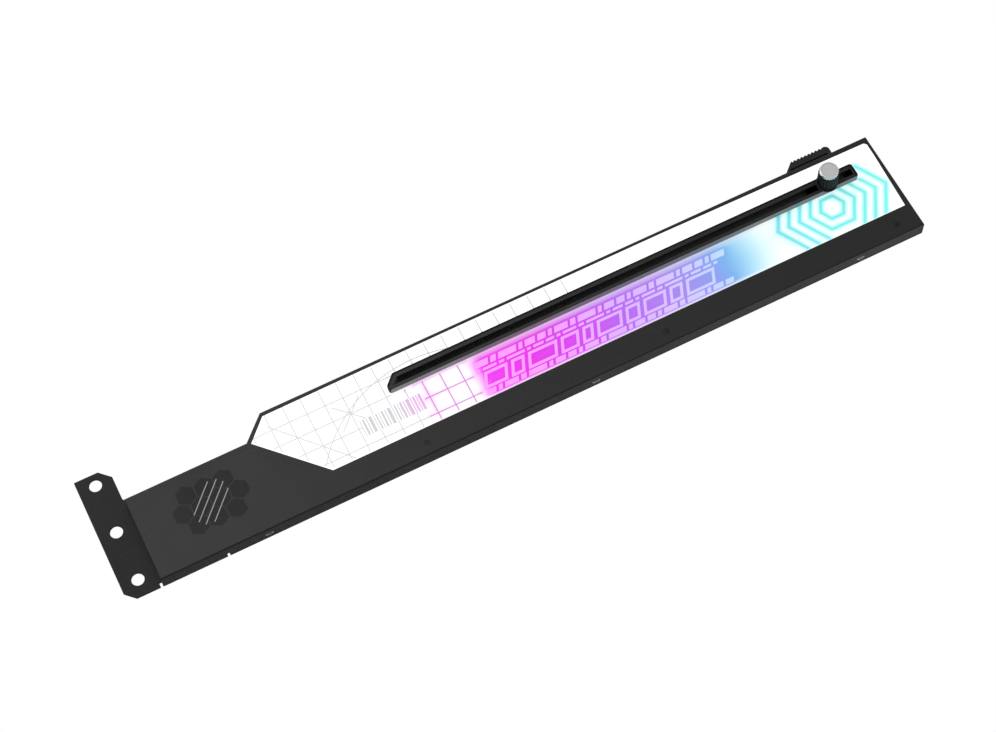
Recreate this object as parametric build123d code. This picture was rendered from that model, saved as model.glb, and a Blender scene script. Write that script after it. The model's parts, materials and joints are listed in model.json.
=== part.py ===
"""Support bracket for a graphics card: a lit bar with a fixing flange and a sliding, clamped rest.

Millimetres. X runs along the bar from the flange to the free end, Z is up and the lit face looks along -Y.
The origin is the centre of the flange's middle hole, on the back face of the back plate.
"""
from build123d import *
import os
from math import atan2, ceil, cos, degrees, hypot, pi, radians, sin, tan

os.makedirs("parts", exist_ok=True)

# Fixing flange
HOLE_PITCH = 20.32
HOLE_RADIUS = 2.4
FLANGE_TO_LEFT = 6.7
FLANGE_TO_RIGHT = 6.8
FLANGE_RISE = 24.9
FLANGE_CHAMFER = 4.1
FLANGE_FOOT_CHAMFER = 3.7
SHOULDER_LOW = 2.4
SHOULDER_HIGH = 3.2
RELIEF_WIDTH = 0.9
RELIEF_HEIGHT = 1.7

# Bar outline, seen from the front
STEP_GAP = 0.35
BAR_LENGTH = 312.7
BAR_BASE = 26.8
BAR_RISE = 16.7
NECK_RISE = 7.8
NECK_LENGTH = 48.3
RAMP_RUN = 9.15

# Sheets and walls
PLATE = 1.0
DEPTH = 7.0
SKIN = 1.0
WALL = 1.25
FOLD_RADIUS = 0.5
FIT_GAP = 0.12

# Window in the cover
STRIP_HEIGHT = 10.35
WINDOW_CORNER = 72.0
WINDOW_SLANT = 46.2
WINDOW_CHAMFER = 1.2
PANEL_LEDGE = 3.4

# Layers behind the window
FILM = 0.1
PANEL_FLANGE = 1.4
DIFFUSER = 0.3
REFLECTOR = 0.3
TRAY_FLOOR = 1.0
TRAY_WALL = 1.0

# Raised slot rim and its sleeve
RIM_START = 31.25
RIM_END_MARGIN = 12.05
RIM_WIDTH = 6.25
RIM_HEIGHT = 2.9
RIM_DROP = 8.85
RIM_OVER_SLOT = 2.25
RIM_UNDER_SLOT = 1.4
RIM_BEFORE_SLOT = 2.1
RIM_AFTER_SLOT = 1.65
RIM_SLANT = 3.8
RIM_NOSE = 0.7
RIM_ROUND = 1.2
RIM_EDGE = 0.55
SLEEVE_WALL = 1.0
SLEEVE_COVER = 0.5

# Lighting
BOARD_THICKNESS = 0.8
BOARD_LEFT = 31.0
LED_HEIGHT = 0.9
LED_LENGTH = 3.5
LED_DEPTH = 1.6
LED_PITCH = 12.5
LED_GAP = 0.1
LENS_LENGTH = 2.2
LENS_HEIGHT = 0.06
SOCKET_LENGTH = 8.0
SOCKET_HEIGHT = 5.0
SOCKET_WALL = 0.9
SOCKET_POCKET = 3.4
PIN_COUNT = 3
PIN_PITCH = 2.0
PIN_SIZE = 0.5
PIN_LENGTH = 2.8

# Cover fixings
SCREW_RISE = 4.6
SCREW_FIRST = 34.9
SCREW_LAST = 9.35
SCREW_HEAD_RADIUS = 1.1
SCREW_SHANK_RADIUS = 0.6
SCREW_HEAD_HEIGHT = 0.6
SCREW_LENGTH = 5.0
SCREW_SOCKET_RADIUS = 0.5
SCREW_SOCKET_DEPTH = 0.4
THREAD_GAP = 0.05
STANDOFF_RADIUS = 1.4
SNAP_FIRST = 41.85
SNAP_MIDDLE = 17.2
SNAP_LAST = 27.1
SNAP_RADIUS = 1.6
SNAP_PLACE = 3.3
SNAP_TAB_WIDTH = 10.0
SNAP_TAB_DEPTH = 4.2
SNAP_GAP = 0.2
SLIT_PLACE = 25.2

# Clamp
KNOB_PLACE = 12.55
KNOB_RADIUS = 3.95
KNOB_BODY = 7.2
KNOB_FLUTES = 22
FLUTE_DEPTH = 0.3
KNOB_CAP_RADIUS = 3.6
KNOB_CAP = 1.5
KNOB_CAP_BEVEL = 0.45
KNOB_SKIRT = 0.5
CLAMP_SCREW_RADIUS = 1.0
CLAMP_HEAD_RADIUS = 1.9
CLAMP_HEAD = 1.4
CLAMP_SCREW_TAIL = 0.8
WASHER_RADIUS = 4.2
WASHER = 0.5
WASHER_GAP = 0.3
SEAT_GAP = 0.1
NUT_SIDE = 9.0
NUT_THICKNESS = 2.5
NUT_CORNER = 1.0
NUT_NECK_LENGTH = 4.0
NUT_NECK_REACH = 0.7
GUIDE_GAP = 0.15

# Sliding rest
ARM_SHEET = 1.2
ARM_GAP = 0.3
ARM_WIDTH = 11.0
ARM_BEND = 1.5
ARM_TOP = 19.9
ARM_RISE_TRAVEL = 10.0
ARM_DROP_TRAVEL = 6.0
ARM_END_LAND = 5.5
SHELF_DEPTH = 24.0
SHELF_LEFT = 7.8
SHELF_RIGHT = 12.5
SHELF_FLARE = 6.0
SHELF_CORNER = 2.0
PAD_HEIGHT = 3.8
PAD_SLANT = 4.15
PAD_ROUND = 1.7
PAD_UNDERCUT = 0.8
PAD_UNDERCUT_DEPTH = 1.0
PAD_LAND = 2.4
RIDGE_PITCH = 1.55
RIDGE_GROOVE = 0.7
RIDGE_DEPTH = 0.4
PLUG_RADIUS = 1.5
PLUG_GAP = 0.05
PLUG_INSET = 5.0
PLUG_LIP = 0.6
PLUG_LIP_RADIUS = 2.0

# Printed marks on the window and the cover
PRINT_MARGIN = 0.5
GRID_PITCH = 7.15
DRAFT_LINE = 0.45
GRID_LINE = 0.3
GRID_SHIFT = 0.85
GRID_LIFT = 3.2
GRID_END = 40.35
GRID_FAR_END = 110.0
ARC_RADIUS = 54.5
ARC_CENTRE_RUN = 44.0
ARC_CENTRE_DROP = 27.3
CROSS_CELLS = 2
CROSS_ARM = 7.5
DIAGONAL_FOOT = 9.95
DIAGONAL_RUN = 24.1
DIAGONAL_RISE = 26.55
BARS_START = 16.45
BARS_LENGTH = 25.4
BARS_HEIGHT = 6.8
BARS_LIFT = 6.6
BARS_GAP = 0.55
BAR_WIDTHS = (0.4, 0.9, 0.5, 1.3, 0.4, 0.7)
BAND_START = 63.0
BAND_LENGTH = 108.0
BAND_LEAN = 0.42
BAND_GAP = 1.5
BAND_STROKE = 1.1
BAND_HEIGHT = 6.4
BAND_LIFT = 3.7
BAND_WIDTHS = (9.5, 5.5, 12.0, 7.5, 4.5, 10.5, 6.0)
DASH_ROWS = ((1.2, 2.0), (10.9, 1.0), (12.7, 2.5))
DASH_GAP = 1.0
DASH_WIDTHS = (3.4, 1.6, 5.6, 2.2, 7.4, 1.6, 4.2)
HEX_INSET = 27.0
HEX_RISE = -4.5
HEX_COUNT = 5
HEX_FIRST = 5.0
HEX_PITCH = 4.6
HEX_STROKE = 1.2
MOTIF_RUN = 27.85
MOTIF_RISE = 19.3
MOTIF_ROWS = (3, 4, 3)
MOTIF_CELL = 3.9
MOTIF_GAP = 0.7
MOTIF_FILM = 0.05
MOTIF_STROKES = 4
MOTIF_STROKE = 0.35
MOTIF_STROKE_LENGTH = 19.0
MOTIF_STROKE_STEP = 1.9

# Places that several pieces share
bar_left = FLANGE_TO_RIGHT + STEP_GAP
bar_right = bar_left + BAR_LENGTH
bar_middle = (bar_left + bar_right) / 2
ramp_start = bar_left + NECK_LENGTH
window_x = bar_left + WINDOW_CORNER
window_z = -BAR_BASE + STRIP_HEIGHT
y_plate = -PLATE
y_face = -DEPTH
y_skin = y_face + SKIN
y_panel_front = y_face + FILM
y_panel_back = y_skin + PANEL_FLANGE
y_guide_front = y_panel_back + DIFFUSER
y_floor = y_plate - TRAY_FLOOR
y_guide_back = y_floor - REFLECTOR
y_rim = y_face - RIM_HEIGHT
rim_left = window_x + RIM_START
rim_right = bar_right - RIM_END_MARGIN
rim_top = BAR_RISE - RIM_DROP
rim_base = rim_top - RIM_WIDTH
slot_top = rim_top - RIM_OVER_SLOT
slot_base = rim_base + RIM_UNDER_SLOT
slot_middle = (slot_top + slot_base) / 2
slot_height = slot_top - slot_base
slot_right = rim_right - RIM_AFTER_SLOT
slot_left = rim_left + RIM_BEFORE_SLOT
board_top = window_z - PANEL_LEDGE + TRAY_WALL + BOARD_THICKNESS - 2 * FIT_GAP
guide_base = board_top + LED_HEIGHT + LED_GAP
screw_z = -BAR_BASE + SCREW_RISE
knob_x = rim_right - KNOB_PLACE
y_arm_front = ARM_GAP
y_arm_back = y_arm_front + ARM_SHEET
y_washer = y_rim - SEAT_GAP
y_knob = y_washer - WASHER - SEAT_GAP / 2
y_cap = y_knob - KNOB_BODY
y_nut = y_arm_back + ARM_GAP
nut_end = y_nut + NUT_THICKNESS
arm_slot_half = NUT_NECK_LENGTH / 2 + GUIDE_GAP
shelf_left = knob_x - SHELF_LEFT
shelf_right = knob_x + SHELF_RIGHT
grid_x = window_x + GRID_SHIFT
grid_z = window_z + GRID_LIFT
lit_left = window_x + GRID_END
band_left = window_x + BAND_START
band_right = band_left + BAND_LENGTH
motif_x = bar_left + MOTIF_RUN
motif_z = -BAR_BASE + MOTIF_RISE


def slab(outline, back, front):
    """A flat piece with this front-view outline (X, Z), from one depth to another."""
    plane = Plane(origin=(0, back, 0), x_dir=(1, 0, 0), z_dir=(0, -1, 0))
    return extrude(plane * outline, amount=back - front)


def region(left, base, right, top):
    """A rectangle in the front view, from its edges."""
    return Pos((left + right) / 2, (base + top) / 2) * Rectangle(right - left, top - base)


def block(left, right, front, back, base, top):
    """A box from its six faces."""
    centre = Pos((left + right) / 2, (front + back) / 2, (base + top) / 2)
    return centre * Box(right - left, back - front, top - base)


def rod(x, z, radius, front, back):
    """A round bar along Y."""
    return slab(Pos(x, z) * Circle(radius), back, front)


def stroke(start, end, width):
    """A straight printed line in the front view."""
    length = hypot(end[0] - start[0], end[1] - start[1])
    angle = degrees(atan2(end[1] - start[1], end[0] - start[0]))
    middle = Pos((start[0] + end[0]) / 2, (start[1] + end[1]) / 2)
    return middle * Rot(0, 0, angle) * Rectangle(length + width, width)


def bar_outline():
    """The bar's outline: a low neck, a slanted ramp and the full-height length."""
    return Polygon(
        (bar_left, -BAR_BASE),
        (bar_right, -BAR_BASE),
        (bar_right, BAR_RISE),
        (ramp_start + RAMP_RUN, BAR_RISE),
        (ramp_start, NECK_RISE),
        (bar_left, NECK_RISE),
        align=None,
    )


def grown(outline, amount):
    """An outline moved outwards, or inwards if the amount is negative, with sharp corners."""
    return offset(outline, amount=amount, kind=Kind.INTERSECTION)


def lit_area(inset, margin):
    """The window: the bar's outline inset, above the slant and lower edge moved out by a margin."""
    base = window_z - margin
    corner = window_x - margin * tan(radians(WINDOW_SLANT / 2))
    lean = (BAR_RISE - base) / tan(radians(WINDOW_SLANT))
    cut = WINDOW_CHAMFER + 2 * inset
    bound = Polygon(
        (corner, base),
        (bar_right, base),
        (bar_right, BAR_RISE - cut),
        (bar_right - cut, BAR_RISE),
        (corner - lean, BAR_RISE),
        align=None,
    )
    return grown(bar_outline(), -inset) & bound


def rim_outline():
    """The raised rim: slanted at its left end, with every corner rounded."""
    outline = Polygon(
        (rim_left, rim_base),
        (rim_right, rim_base),
        (rim_right, rim_top),
        (rim_left + RIM_SLANT, rim_top),
        (rim_left, rim_top - RIM_SLANT),
        align=None,
    )
    nose = [(rim_left + RIM_SLANT, rim_top), (rim_left, rim_top - RIM_SLANT)]
    outline = fillet([outline.vertices().sort_by_distance(point)[0] for point in nose], RIM_NOSE)
    square = [(rim_left, rim_base), (rim_right, rim_base), (rim_right, rim_top)]
    return fillet([outline.vertices().sort_by_distance(point)[0] for point in square], RIM_ROUND)


def slot_outline():
    """The slot through the bar, slanted at its left end like the rim."""
    return Polygon(
        (slot_left, slot_base),
        (slot_right, slot_base),
        (slot_right, slot_top),
        (slot_left + slot_height, slot_top),
        align=None,
    )


def screw_places():
    """Where the cover's three screws stand along the bar."""
    first = window_x + SCREW_FIRST
    last = bar_right - SCREW_LAST
    return (first, (first + last) / 2, last)


def snap_places():
    """Where the back plate's three tabs snap into the cover's lower wall."""
    return (bar_left + SNAP_FIRST, bar_middle + SNAP_MIDDLE, bar_right - SNAP_LAST)


def half_disc(x, radius, base, top):
    """A half-round plug along Z, flat towards the front."""
    y = y_face + SNAP_PLACE
    disc = Circle(radius) & (Pos(0, radius / 2) * Rectangle(2 * radius, radius))
    return extrude(Plane(origin=(x, y, base)) * disc, amount=top - base)


def back_plate():
    """The steel back: flange and bar in one sheet, with three tabs turned up behind the lower wall."""
    outline = Polygon(
        (-FLANGE_TO_LEFT, FLANGE_RISE),
        (-FLANGE_TO_LEFT, -BAR_BASE + FLANGE_FOOT_CHAMFER),
        (-FLANGE_TO_LEFT + FLANGE_FOOT_CHAMFER, -BAR_BASE),
        (bar_right, -BAR_BASE),
        (bar_right, BAR_RISE),
        (ramp_start + RAMP_RUN, BAR_RISE),
        (ramp_start, NECK_RISE),
        (bar_left, NECK_RISE),
        (bar_left, NECK_RISE + SHOULDER_LOW),
        (FLANGE_TO_RIGHT, NECK_RISE + SHOULDER_HIGH),
        (FLANGE_TO_RIGHT, FLANGE_RISE - FLANGE_CHAMFER),
        (FLANGE_TO_RIGHT - FLANGE_CHAMFER, FLANGE_RISE),
        align=None,
    )
    outline -= region(bar_left - RELIEF_WIDTH, -BAR_BASE, bar_left, -BAR_BASE + RELIEF_HEIGHT)
    slit = bar_left + SLIT_PLACE
    outline -= region(slit, -BAR_BASE, slit + RELIEF_WIDTH, -BAR_BASE + RELIEF_HEIGHT)
    outline -= slot_outline()
    for row in (-1, 0, 1):
        outline -= Pos(0, row * HOLE_PITCH) * Circle(HOLE_RADIUS)
    for x in screw_places():
        outline -= Pos(x, screw_z) * Circle(SCREW_SHANK_RADIUS + THREAD_GAP)
    outline -= grown(socket_outline(), FIT_GAP)
    plate = slab(outline, 0, y_plate)
    for x in snap_places():
        tab_base = -BAR_BASE + WALL + FIT_GAP
        half = SNAP_TAB_WIDTH / 2
        plate += block(x - half, x + half, y_plate - SNAP_TAB_DEPTH, y_plate, tab_base, tab_base + PLATE)
        plate += half_disc(x, SNAP_RADIUS - SNAP_GAP, -BAR_BASE + WALL / 2, tab_base)
    return plate


def front_cover():
    """The black cover: a tray with a window, countersunk screw holes and snap windows below."""
    shell = slab(bar_outline(), y_plate, y_face)
    rim = shell.faces().sort_by(Axis.Y)[0].edges()
    shell = fillet(rim, FOLD_RADIUS)
    shell -= slab(grown(bar_outline(), -WALL), y_plate, y_skin)
    shell -= slab(lit_area(WALL, 0), y_skin, y_face)
    for x in screw_places():
        shell -= rod(x, screw_z, SCREW_SHANK_RADIUS + FIT_GAP, y_face, y_skin)
        shell -= rod(x, screw_z, SCREW_HEAD_RADIUS + FIT_GAP, y_face, y_face + SCREW_HEAD_HEIGHT)
    for x in snap_places():
        shell -= half_disc(x, SNAP_RADIUS, -BAR_BASE, -BAR_BASE + WALL)
    slit = bar_left + SLIT_PLACE
    shell -= block(slit, slit + RELIEF_WIDTH, y_plate - RELIEF_HEIGHT, y_plate, -BAR_BASE, -BAR_BASE + WALL)
    return shell


def screw_standoffs():
    """Pressed posts between the back plate and the cover, tapped for the cover's screws."""
    return Part() + [
        rod(x, screw_z, STANDOFF_RADIUS, y_skin, y_plate)
        - rod(x, screw_z, SCREW_SHANK_RADIUS + THREAD_GAP, y_skin, y_plate)
        for x in screw_places()
    ]


def cover_screws():
    """Small flat-headed screws with a hexagonal socket."""
    screws = []
    for x in screw_places():
        head = rod(x, screw_z, SCREW_HEAD_RADIUS, y_face, y_face + SCREW_HEAD_HEIGHT)
        shank = rod(x, screw_z, SCREW_SHANK_RADIUS, y_face + SCREW_HEAD_HEIGHT, y_face + SCREW_LENGTH)
        key = Pos(x, screw_z) * RegularPolygon(SCREW_SOCKET_RADIUS, 6)
        screws.append(head + shank - slab(key, y_face + SCREW_SOCKET_DEPTH, y_face))
    return Part() + screws


def sleeve_outline(gap):
    """The outside of the slot's sleeve with a gap round it, ending behind the rim's left end."""
    bound = region(rim_left + SLEEVE_COVER - gap, rim_base, rim_right, rim_top)
    return grown(slot_outline(), SLEEVE_WALL + gap) & bound


def slot_bezel():
    """The raised rim and the sleeve that lines the slot down to the back plate."""
    rim = slab(rim_outline(), y_panel_front, y_rim)
    rim = fillet(rim.faces().sort_by(Axis.Y)[0].edges(), RIM_EDGE)
    sleeve = slab(sleeve_outline(0), y_plate, y_panel_front)
    return rim + sleeve - slab(slot_outline(), y_plate, y_rim)


def slot_clearance():
    """The room that each layer leaves for the sleeve."""
    return sleeve_outline(FIT_GAP)


def light_panel():
    """The white front window: flush in the cover, with a ledge that sits behind the cover's face."""
    front = slab(lit_area(WALL + FIT_GAP, -FIT_GAP) - slot_clearance(), y_skin, y_panel_front)
    ledge = slab(lit_area(WALL + FIT_GAP, PANEL_LEDGE) - slot_clearance(), y_panel_back, y_skin)
    return front + ledge


def inner_area(inset):
    """The light guide's outline: inside the tray's walls, above the light sources."""
    area = lit_area(WALL + FIT_GAP + TRAY_WALL + inset, PANEL_LEDGE - inset)
    return (area & region(bar_left, guide_base, bar_right, BAR_RISE)) - slot_clearance()


def diffuser_sheet():
    """A thin sheet that evens the light behind the window."""
    return slab(inner_area(FIT_GAP), y_guide_front, y_panel_back)


def light_guide():
    """The clear sheet that carries light up from its lower edge."""
    return slab(inner_area(FIT_GAP), y_guide_back, y_guide_front)


def reflector_sheet():
    """The white sheet behind the guide."""
    return slab(inner_area(FIT_GAP), y_floor, y_guide_back)


def light_tray():
    """The white tray that holds the layers: a floor with walls at the top, the end and the board's foot."""
    outline = lit_area(WALL + FIT_GAP, PANEL_LEDGE)
    tray = slab(outline - slot_clearance(), y_plate, y_panel_back)
    room = grown(bar_outline(), -(WALL + FIT_GAP + TRAY_WALL))
    foot = board_top - BOARD_THICKNESS
    return tray - slab(room & region(bar_left, foot, bar_right, BAR_RISE), y_floor, y_panel_back)


def board_right():
    """Where the board ends, inside the tray."""
    return bar_right - WALL - TRAY_WALL - 2 * FIT_GAP


def led_board():
    """The narrow board on its long edge under the guide."""
    return block(
        BOARD_LEFT + bar_left, board_right(), y_guide_front, y_floor, board_top - BOARD_THICKNESS, board_top
    )


def led_places():
    """Evenly spaced light sources along the window's lower edge."""
    first = window_x + LED_LENGTH
    count = int((board_right() - LED_LENGTH - first) / LED_PITCH) + 1
    return [first + i * LED_PITCH for i in range(count)]


def leds():
    """The light sources' white bodies."""
    y = (y_guide_front + y_floor) / 2
    half = LED_LENGTH / 2
    side = LED_DEPTH / 2
    top = board_top + LED_HEIGHT
    return Part() + [block(x - half, x + half, y - side, y + side, board_top, top) for x in led_places()]


def led_lenses():
    """The yellow lenses on the light sources."""
    y = (y_guide_front + y_floor) / 2
    half = LENS_LENGTH / 2
    base = board_top + LED_HEIGHT
    side = LED_DEPTH / 2 - FIT_GAP
    return Part() + [
        block(x - half, x + half, y - side, y + side, base, base + LENS_HEIGHT) for x in led_places()
    ]


def socket_outline():
    """The lead socket's outline, standing on the board."""
    left = bar_left + BOARD_LEFT
    return region(left, board_top, left + SOCKET_LENGTH, board_top + SOCKET_HEIGHT)


def lead_socket():
    """The socket for the lighting lead, open through the back plate."""
    body = slab(socket_outline(), 0, y_guide_front)
    return body - slab(grown(socket_outline(), -SOCKET_WALL), 0, -SOCKET_POCKET)


def socket_pins():
    """The socket's contact pins."""
    middle = bar_left + BOARD_LEFT + SOCKET_LENGTH / 2
    z = board_top + SOCKET_HEIGHT / 2
    half = PIN_SIZE / 2
    places = [middle + (i - (PIN_COUNT - 1) / 2) * PIN_PITCH for i in range(PIN_COUNT)]
    return Part() + [
        block(x - half, x + half, -SOCKET_POCKET, -SOCKET_POCKET + PIN_LENGTH, z - half, z + half)
        for x in places
    ]


def clamp_nut():
    """The square nut behind the rest, with a neck through both slots that keeps it from turning."""
    head = region(-NUT_SIDE / 2, -NUT_SIDE / 2, NUT_SIDE / 2, NUT_SIDE / 2)
    head = Pos(knob_x, slot_middle) * fillet(head.vertices(), NUT_CORNER)
    neck_half = slot_height / 2 - GUIDE_GAP
    neck = region(
        knob_x - NUT_NECK_LENGTH / 2, slot_middle - neck_half, knob_x + NUT_NECK_LENGTH / 2,
        slot_middle + neck_half,
    )
    nut = slab(head, nut_end, y_nut) + slab(neck, y_nut, -NUT_NECK_REACH)
    return nut - rod(knob_x, slot_middle, CLAMP_SCREW_RADIUS + THREAD_GAP, -NUT_NECK_REACH, nut_end)


def knob_washer():
    """The flat washer between the knob and the rim."""
    washer = rod(knob_x, slot_middle, WASHER_RADIUS, y_washer - WASHER, y_washer)
    return washer - rod(knob_x, slot_middle, CLAMP_SCREW_RADIUS + WASHER_GAP, y_washer - WASHER, y_washer)


def knob_body():
    """The black knob: fluted all round above a plain skirt."""
    points = []
    for i in range(4 * KNOB_FLUTES):
        angle = 2 * pi * i / (4 * KNOB_FLUTES)
        radius = KNOB_RADIUS - FLUTE_DEPTH * (i % 4 in (0, 3))
        points.append((radius * cos(angle), radius * sin(angle)))
    fluted = Pos(knob_x, slot_middle) * Polygon(*points, align=None)
    skirt = rod(knob_x, slot_middle, KNOB_RADIUS, y_knob - KNOB_SKIRT, y_knob)
    knob = skirt + slab(fluted, y_knob - KNOB_SKIRT, y_cap)
    knob -= rod(knob_x, slot_middle, CLAMP_SCREW_RADIUS + THREAD_GAP, y_cap, y_knob)
    return knob - rod(knob_x, slot_middle, CLAMP_HEAD_RADIUS + THREAD_GAP, y_cap, y_cap + CLAMP_HEAD)


def knob_cap():
    """The bright cap with a bevelled edge."""
    cap = rod(knob_x, slot_middle, KNOB_CAP_RADIUS, y_cap - KNOB_CAP, y_cap)
    return chamfer(cap.faces().sort_by(Axis.Y)[0].edges(), KNOB_CAP_BEVEL)


def knob_screw():
    """The clamp screw, with its head held between the knob and its cap."""
    head = rod(knob_x, slot_middle, CLAMP_HEAD_RADIUS, y_cap, y_cap + CLAMP_HEAD)
    return head + rod(knob_x, slot_middle, CLAMP_SCREW_RADIUS, y_cap, nut_end + CLAMP_SCREW_TAIL)


def plug_places():
    """Where the pad's two plugs pass through the shelf."""
    middle = (shelf_left + shelf_right) / 2
    return ((middle, y_arm_front + PLUG_INSET), (middle, y_arm_front + SHELF_DEPTH - PLUG_INSET))


def support_arm():
    """The rest's steel arm: an upright with a height slot, flared at its top and bent back into a shelf."""
    half = ARM_WIDTH / 2
    slot_low = slot_base - ARM_RISE_TRAVEL
    slot_high = slot_top + ARM_DROP_TRAVEL
    foot = slot_low - ARM_END_LAND
    flare = ARM_TOP - SHELF_FLARE
    upright = Polygon(
        (knob_x - half, foot),
        (knob_x + half, foot),
        (knob_x + half, flare - (SHELF_RIGHT - half)),
        (shelf_right, flare),
        (shelf_right, ARM_TOP),
        (shelf_left, ARM_TOP),
        (shelf_left, flare),
        (knob_x - half, flare - (SHELF_LEFT - half)),
        align=None,
    )
    upright = fillet(upright.vertices().group_by(Axis.Y)[0], SHELF_CORNER)
    slot = region(knob_x - arm_slot_half, slot_low, knob_x + arm_slot_half, slot_high)
    arm = slab(upright - slot, y_arm_back, y_arm_front)
    back = y_arm_front + SHELF_DEPTH
    shelf = block(shelf_left, shelf_right, y_arm_front, back, ARM_TOP - ARM_SHEET, ARM_TOP)
    shelf = fillet(shelf.edges().filter_by(Axis.Z).group_by(Axis.Y)[-1], SHELF_CORNER)
    arm += shelf
    inner_corner = Vector((shelf_left + shelf_right) / 2, y_arm_back, ARM_TOP - ARM_SHEET)
    arm = fillet(arm.edges().filter_by(Axis.X).sort_by_distance(inner_corner)[0], ARM_BEND)
    for x, y in plug_places():
        arm -= Pos(x, y, ARM_TOP - ARM_SHEET / 2) * Cylinder(PLUG_RADIUS, ARM_SHEET)
    return arm


def rubber_pad():
    """The ribbed rubber pad on the shelf, with two plugs pressed through it and a groove in front."""
    top = ARM_TOP + PAD_HEIGHT
    profile = Polygon(
        (shelf_left, ARM_TOP),
        (shelf_right, ARM_TOP),
        (shelf_right, top),
        (shelf_left + PAD_SLANT, top),
        align=None,
    )
    corner = profile.vertices().sort_by_distance((shelf_right, top))[0]
    profile = fillet(corner, PAD_ROUND)
    first = shelf_left + PAD_SLANT + RIDGE_PITCH / 2
    count = int((shelf_right - PAD_ROUND - first) / RIDGE_PITCH) + 1
    for i in range(count):
        x = first + i * RIDGE_PITCH
        profile -= region(x - RIDGE_GROOVE / 2, top - RIDGE_DEPTH, x + RIDGE_GROOVE / 2, top)
    pad = slab(profile, y_arm_front + SHELF_DEPTH, y_arm_front)
    pad -= block(
        shelf_left + PAD_LAND, shelf_right - PAD_ROUND, y_arm_front, y_arm_front + PAD_UNDERCUT_DEPTH,
        ARM_TOP, ARM_TOP + PAD_UNDERCUT,
    )
    under = ARM_TOP - ARM_SHEET
    for x, y in plug_places():
        pad += Pos(x, y, ARM_TOP - ARM_SHEET / 2) * Cylinder(PLUG_RADIUS - PLUG_GAP, ARM_SHEET)
        pad += Pos(x, y, under - PLUG_LIP / 2) * Cylinder(PLUG_LIP_RADIUS, PLUG_LIP)
    return pad


def print_area():
    """The part of the window that can carry print: inside its edges and clear of the rim."""
    return lit_area(WALL + PRINT_MARGIN, -PRINT_MARGIN) - grown(rim_outline(), GUIDE_GAP)


def printed(marks):
    """Marks on the window as a thin film, flush with the cover's face."""
    return slab(print_area() & (Sketch() + marks), y_panel_front, y_face)


def bars_box():
    """The block of printed bars."""
    left = window_x + BARS_START
    base = window_z + BARS_LIFT
    return (left, base, left + BARS_LENGTH, base + BARS_HEIGHT)


def grid_lines(left, base, right, top, width):
    """A square grid of fine lines over a rectangle of the window."""
    lines = []
    for i in range(ceil((left - grid_x) / GRID_PITCH), ceil((right - grid_x) / GRID_PITCH)):
        x = grid_x + i * GRID_PITCH
        lines.append(stroke((x, base), (x, top), width))
    for j in range(ceil((base - grid_z) / GRID_PITCH), ceil((top - grid_z) / GRID_PITCH)):
        z = grid_z + j * GRID_PITCH
        lines.append(stroke((left, z), (right, z), width))
    return (Sketch() + lines) & region(left, base, right, top)


def print_draft_lines():
    """The grey draughting grid with its arc, cross mark and diagonal; it runs on above the rim."""
    left = bar_left + NECK_LENGTH
    far = window_x + GRID_FAR_END
    area = region(left, window_z, lit_left, BAR_RISE) + region(lit_left, rim_top, far, BAR_RISE)
    half = DRAFT_LINE / 2
    arc = Circle(ARC_RADIUS + half) - Circle(ARC_RADIUS - half)
    marks = [Pos(window_x + ARC_CENTRE_RUN, window_z - ARC_CENTRE_DROP) * arc]
    x, z = grid_x + CROSS_CELLS * GRID_PITCH, grid_z + CROSS_CELLS * GRID_PITCH
    for angle in (45, 135):
        dx, dz = CROSS_ARM * cos(radians(angle)), CROSS_ARM * sin(radians(angle))
        marks.append(stroke((x - dx, z - dz), (x + dx, z + dz), DRAFT_LINE))
    x = window_x + DIAGONAL_FOOT
    marks.append(stroke((x, window_z), (x - DIAGONAL_RUN, window_z + DIAGONAL_RISE), DRAFT_LINE))
    marks.append(grid_lines(left, window_z, lit_left, BAR_RISE, DRAFT_LINE))
    marks.append(grid_lines(lit_left, rim_top, far, BAR_RISE, DRAFT_LINE))
    return printed([((Sketch() + marks) & area) - region(*bars_box())])


def print_bars():
    """A block of grey bars of uneven width."""
    left, base, right, top = bars_box()
    marks = []
    x = left
    count = 0
    while x + max(BAR_WIDTHS) < right:
        width = BAR_WIDTHS[count % len(BAR_WIDTHS)]
        marks.append(region(x, base, x + width, top))
        x += width + BARS_GAP
        count += 1
    return printed(marks)


def print_grid_lit():
    """The lit stretch of the grid below the rim, from the bars to the coloured band."""
    lines = grid_lines(lit_left, window_z, band_left - BAND_GAP, rim_base, GRID_LINE)
    return printed([lines - region(*bars_box())])


def leaning(x, base, width, height, inset=0.0):
    """A leaning block, shrunk by an inset."""
    lean = BAND_LEAN * height
    top = base + height
    shape = Polygon((x, base), (x + width, base), (x + width + lean, top), (x + lean, top), align=None)
    return grown(shape, -inset) if inset else shape


def run_of_blocks(widths, gap, base, height, hollow):
    """Leaning blocks of cycling widths along the band, as pairs of place and shape."""
    shapes = []
    x = band_left
    count = 0
    while x + max(widths) < band_right:
        width = widths[count % len(widths)]
        shape = leaning(x, base, width, height)
        if hollow:
            shape -= leaning(x, base, width, height, BAND_STROKE)
        shapes.append((x, shape))
        x += width + gap
        count += 1
    return shapes


def band_part(number):
    """One third of the coloured band: hollow leaning blocks between rows of dashes."""
    rows = run_of_blocks(BAND_WIDTHS, BAND_GAP, window_z + BAND_LIFT, BAND_HEIGHT, True)
    for turn, (lift, height) in enumerate(DASH_ROWS):
        widths = DASH_WIDTHS[turn:] + DASH_WIDTHS[:turn]
        rows += run_of_blocks(widths, DASH_GAP, window_z + lift, height, False)
    third = BAND_LENGTH / 3
    low = band_left + number * third
    return printed([shape for x, shape in rows if low <= x < low + third])


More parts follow.
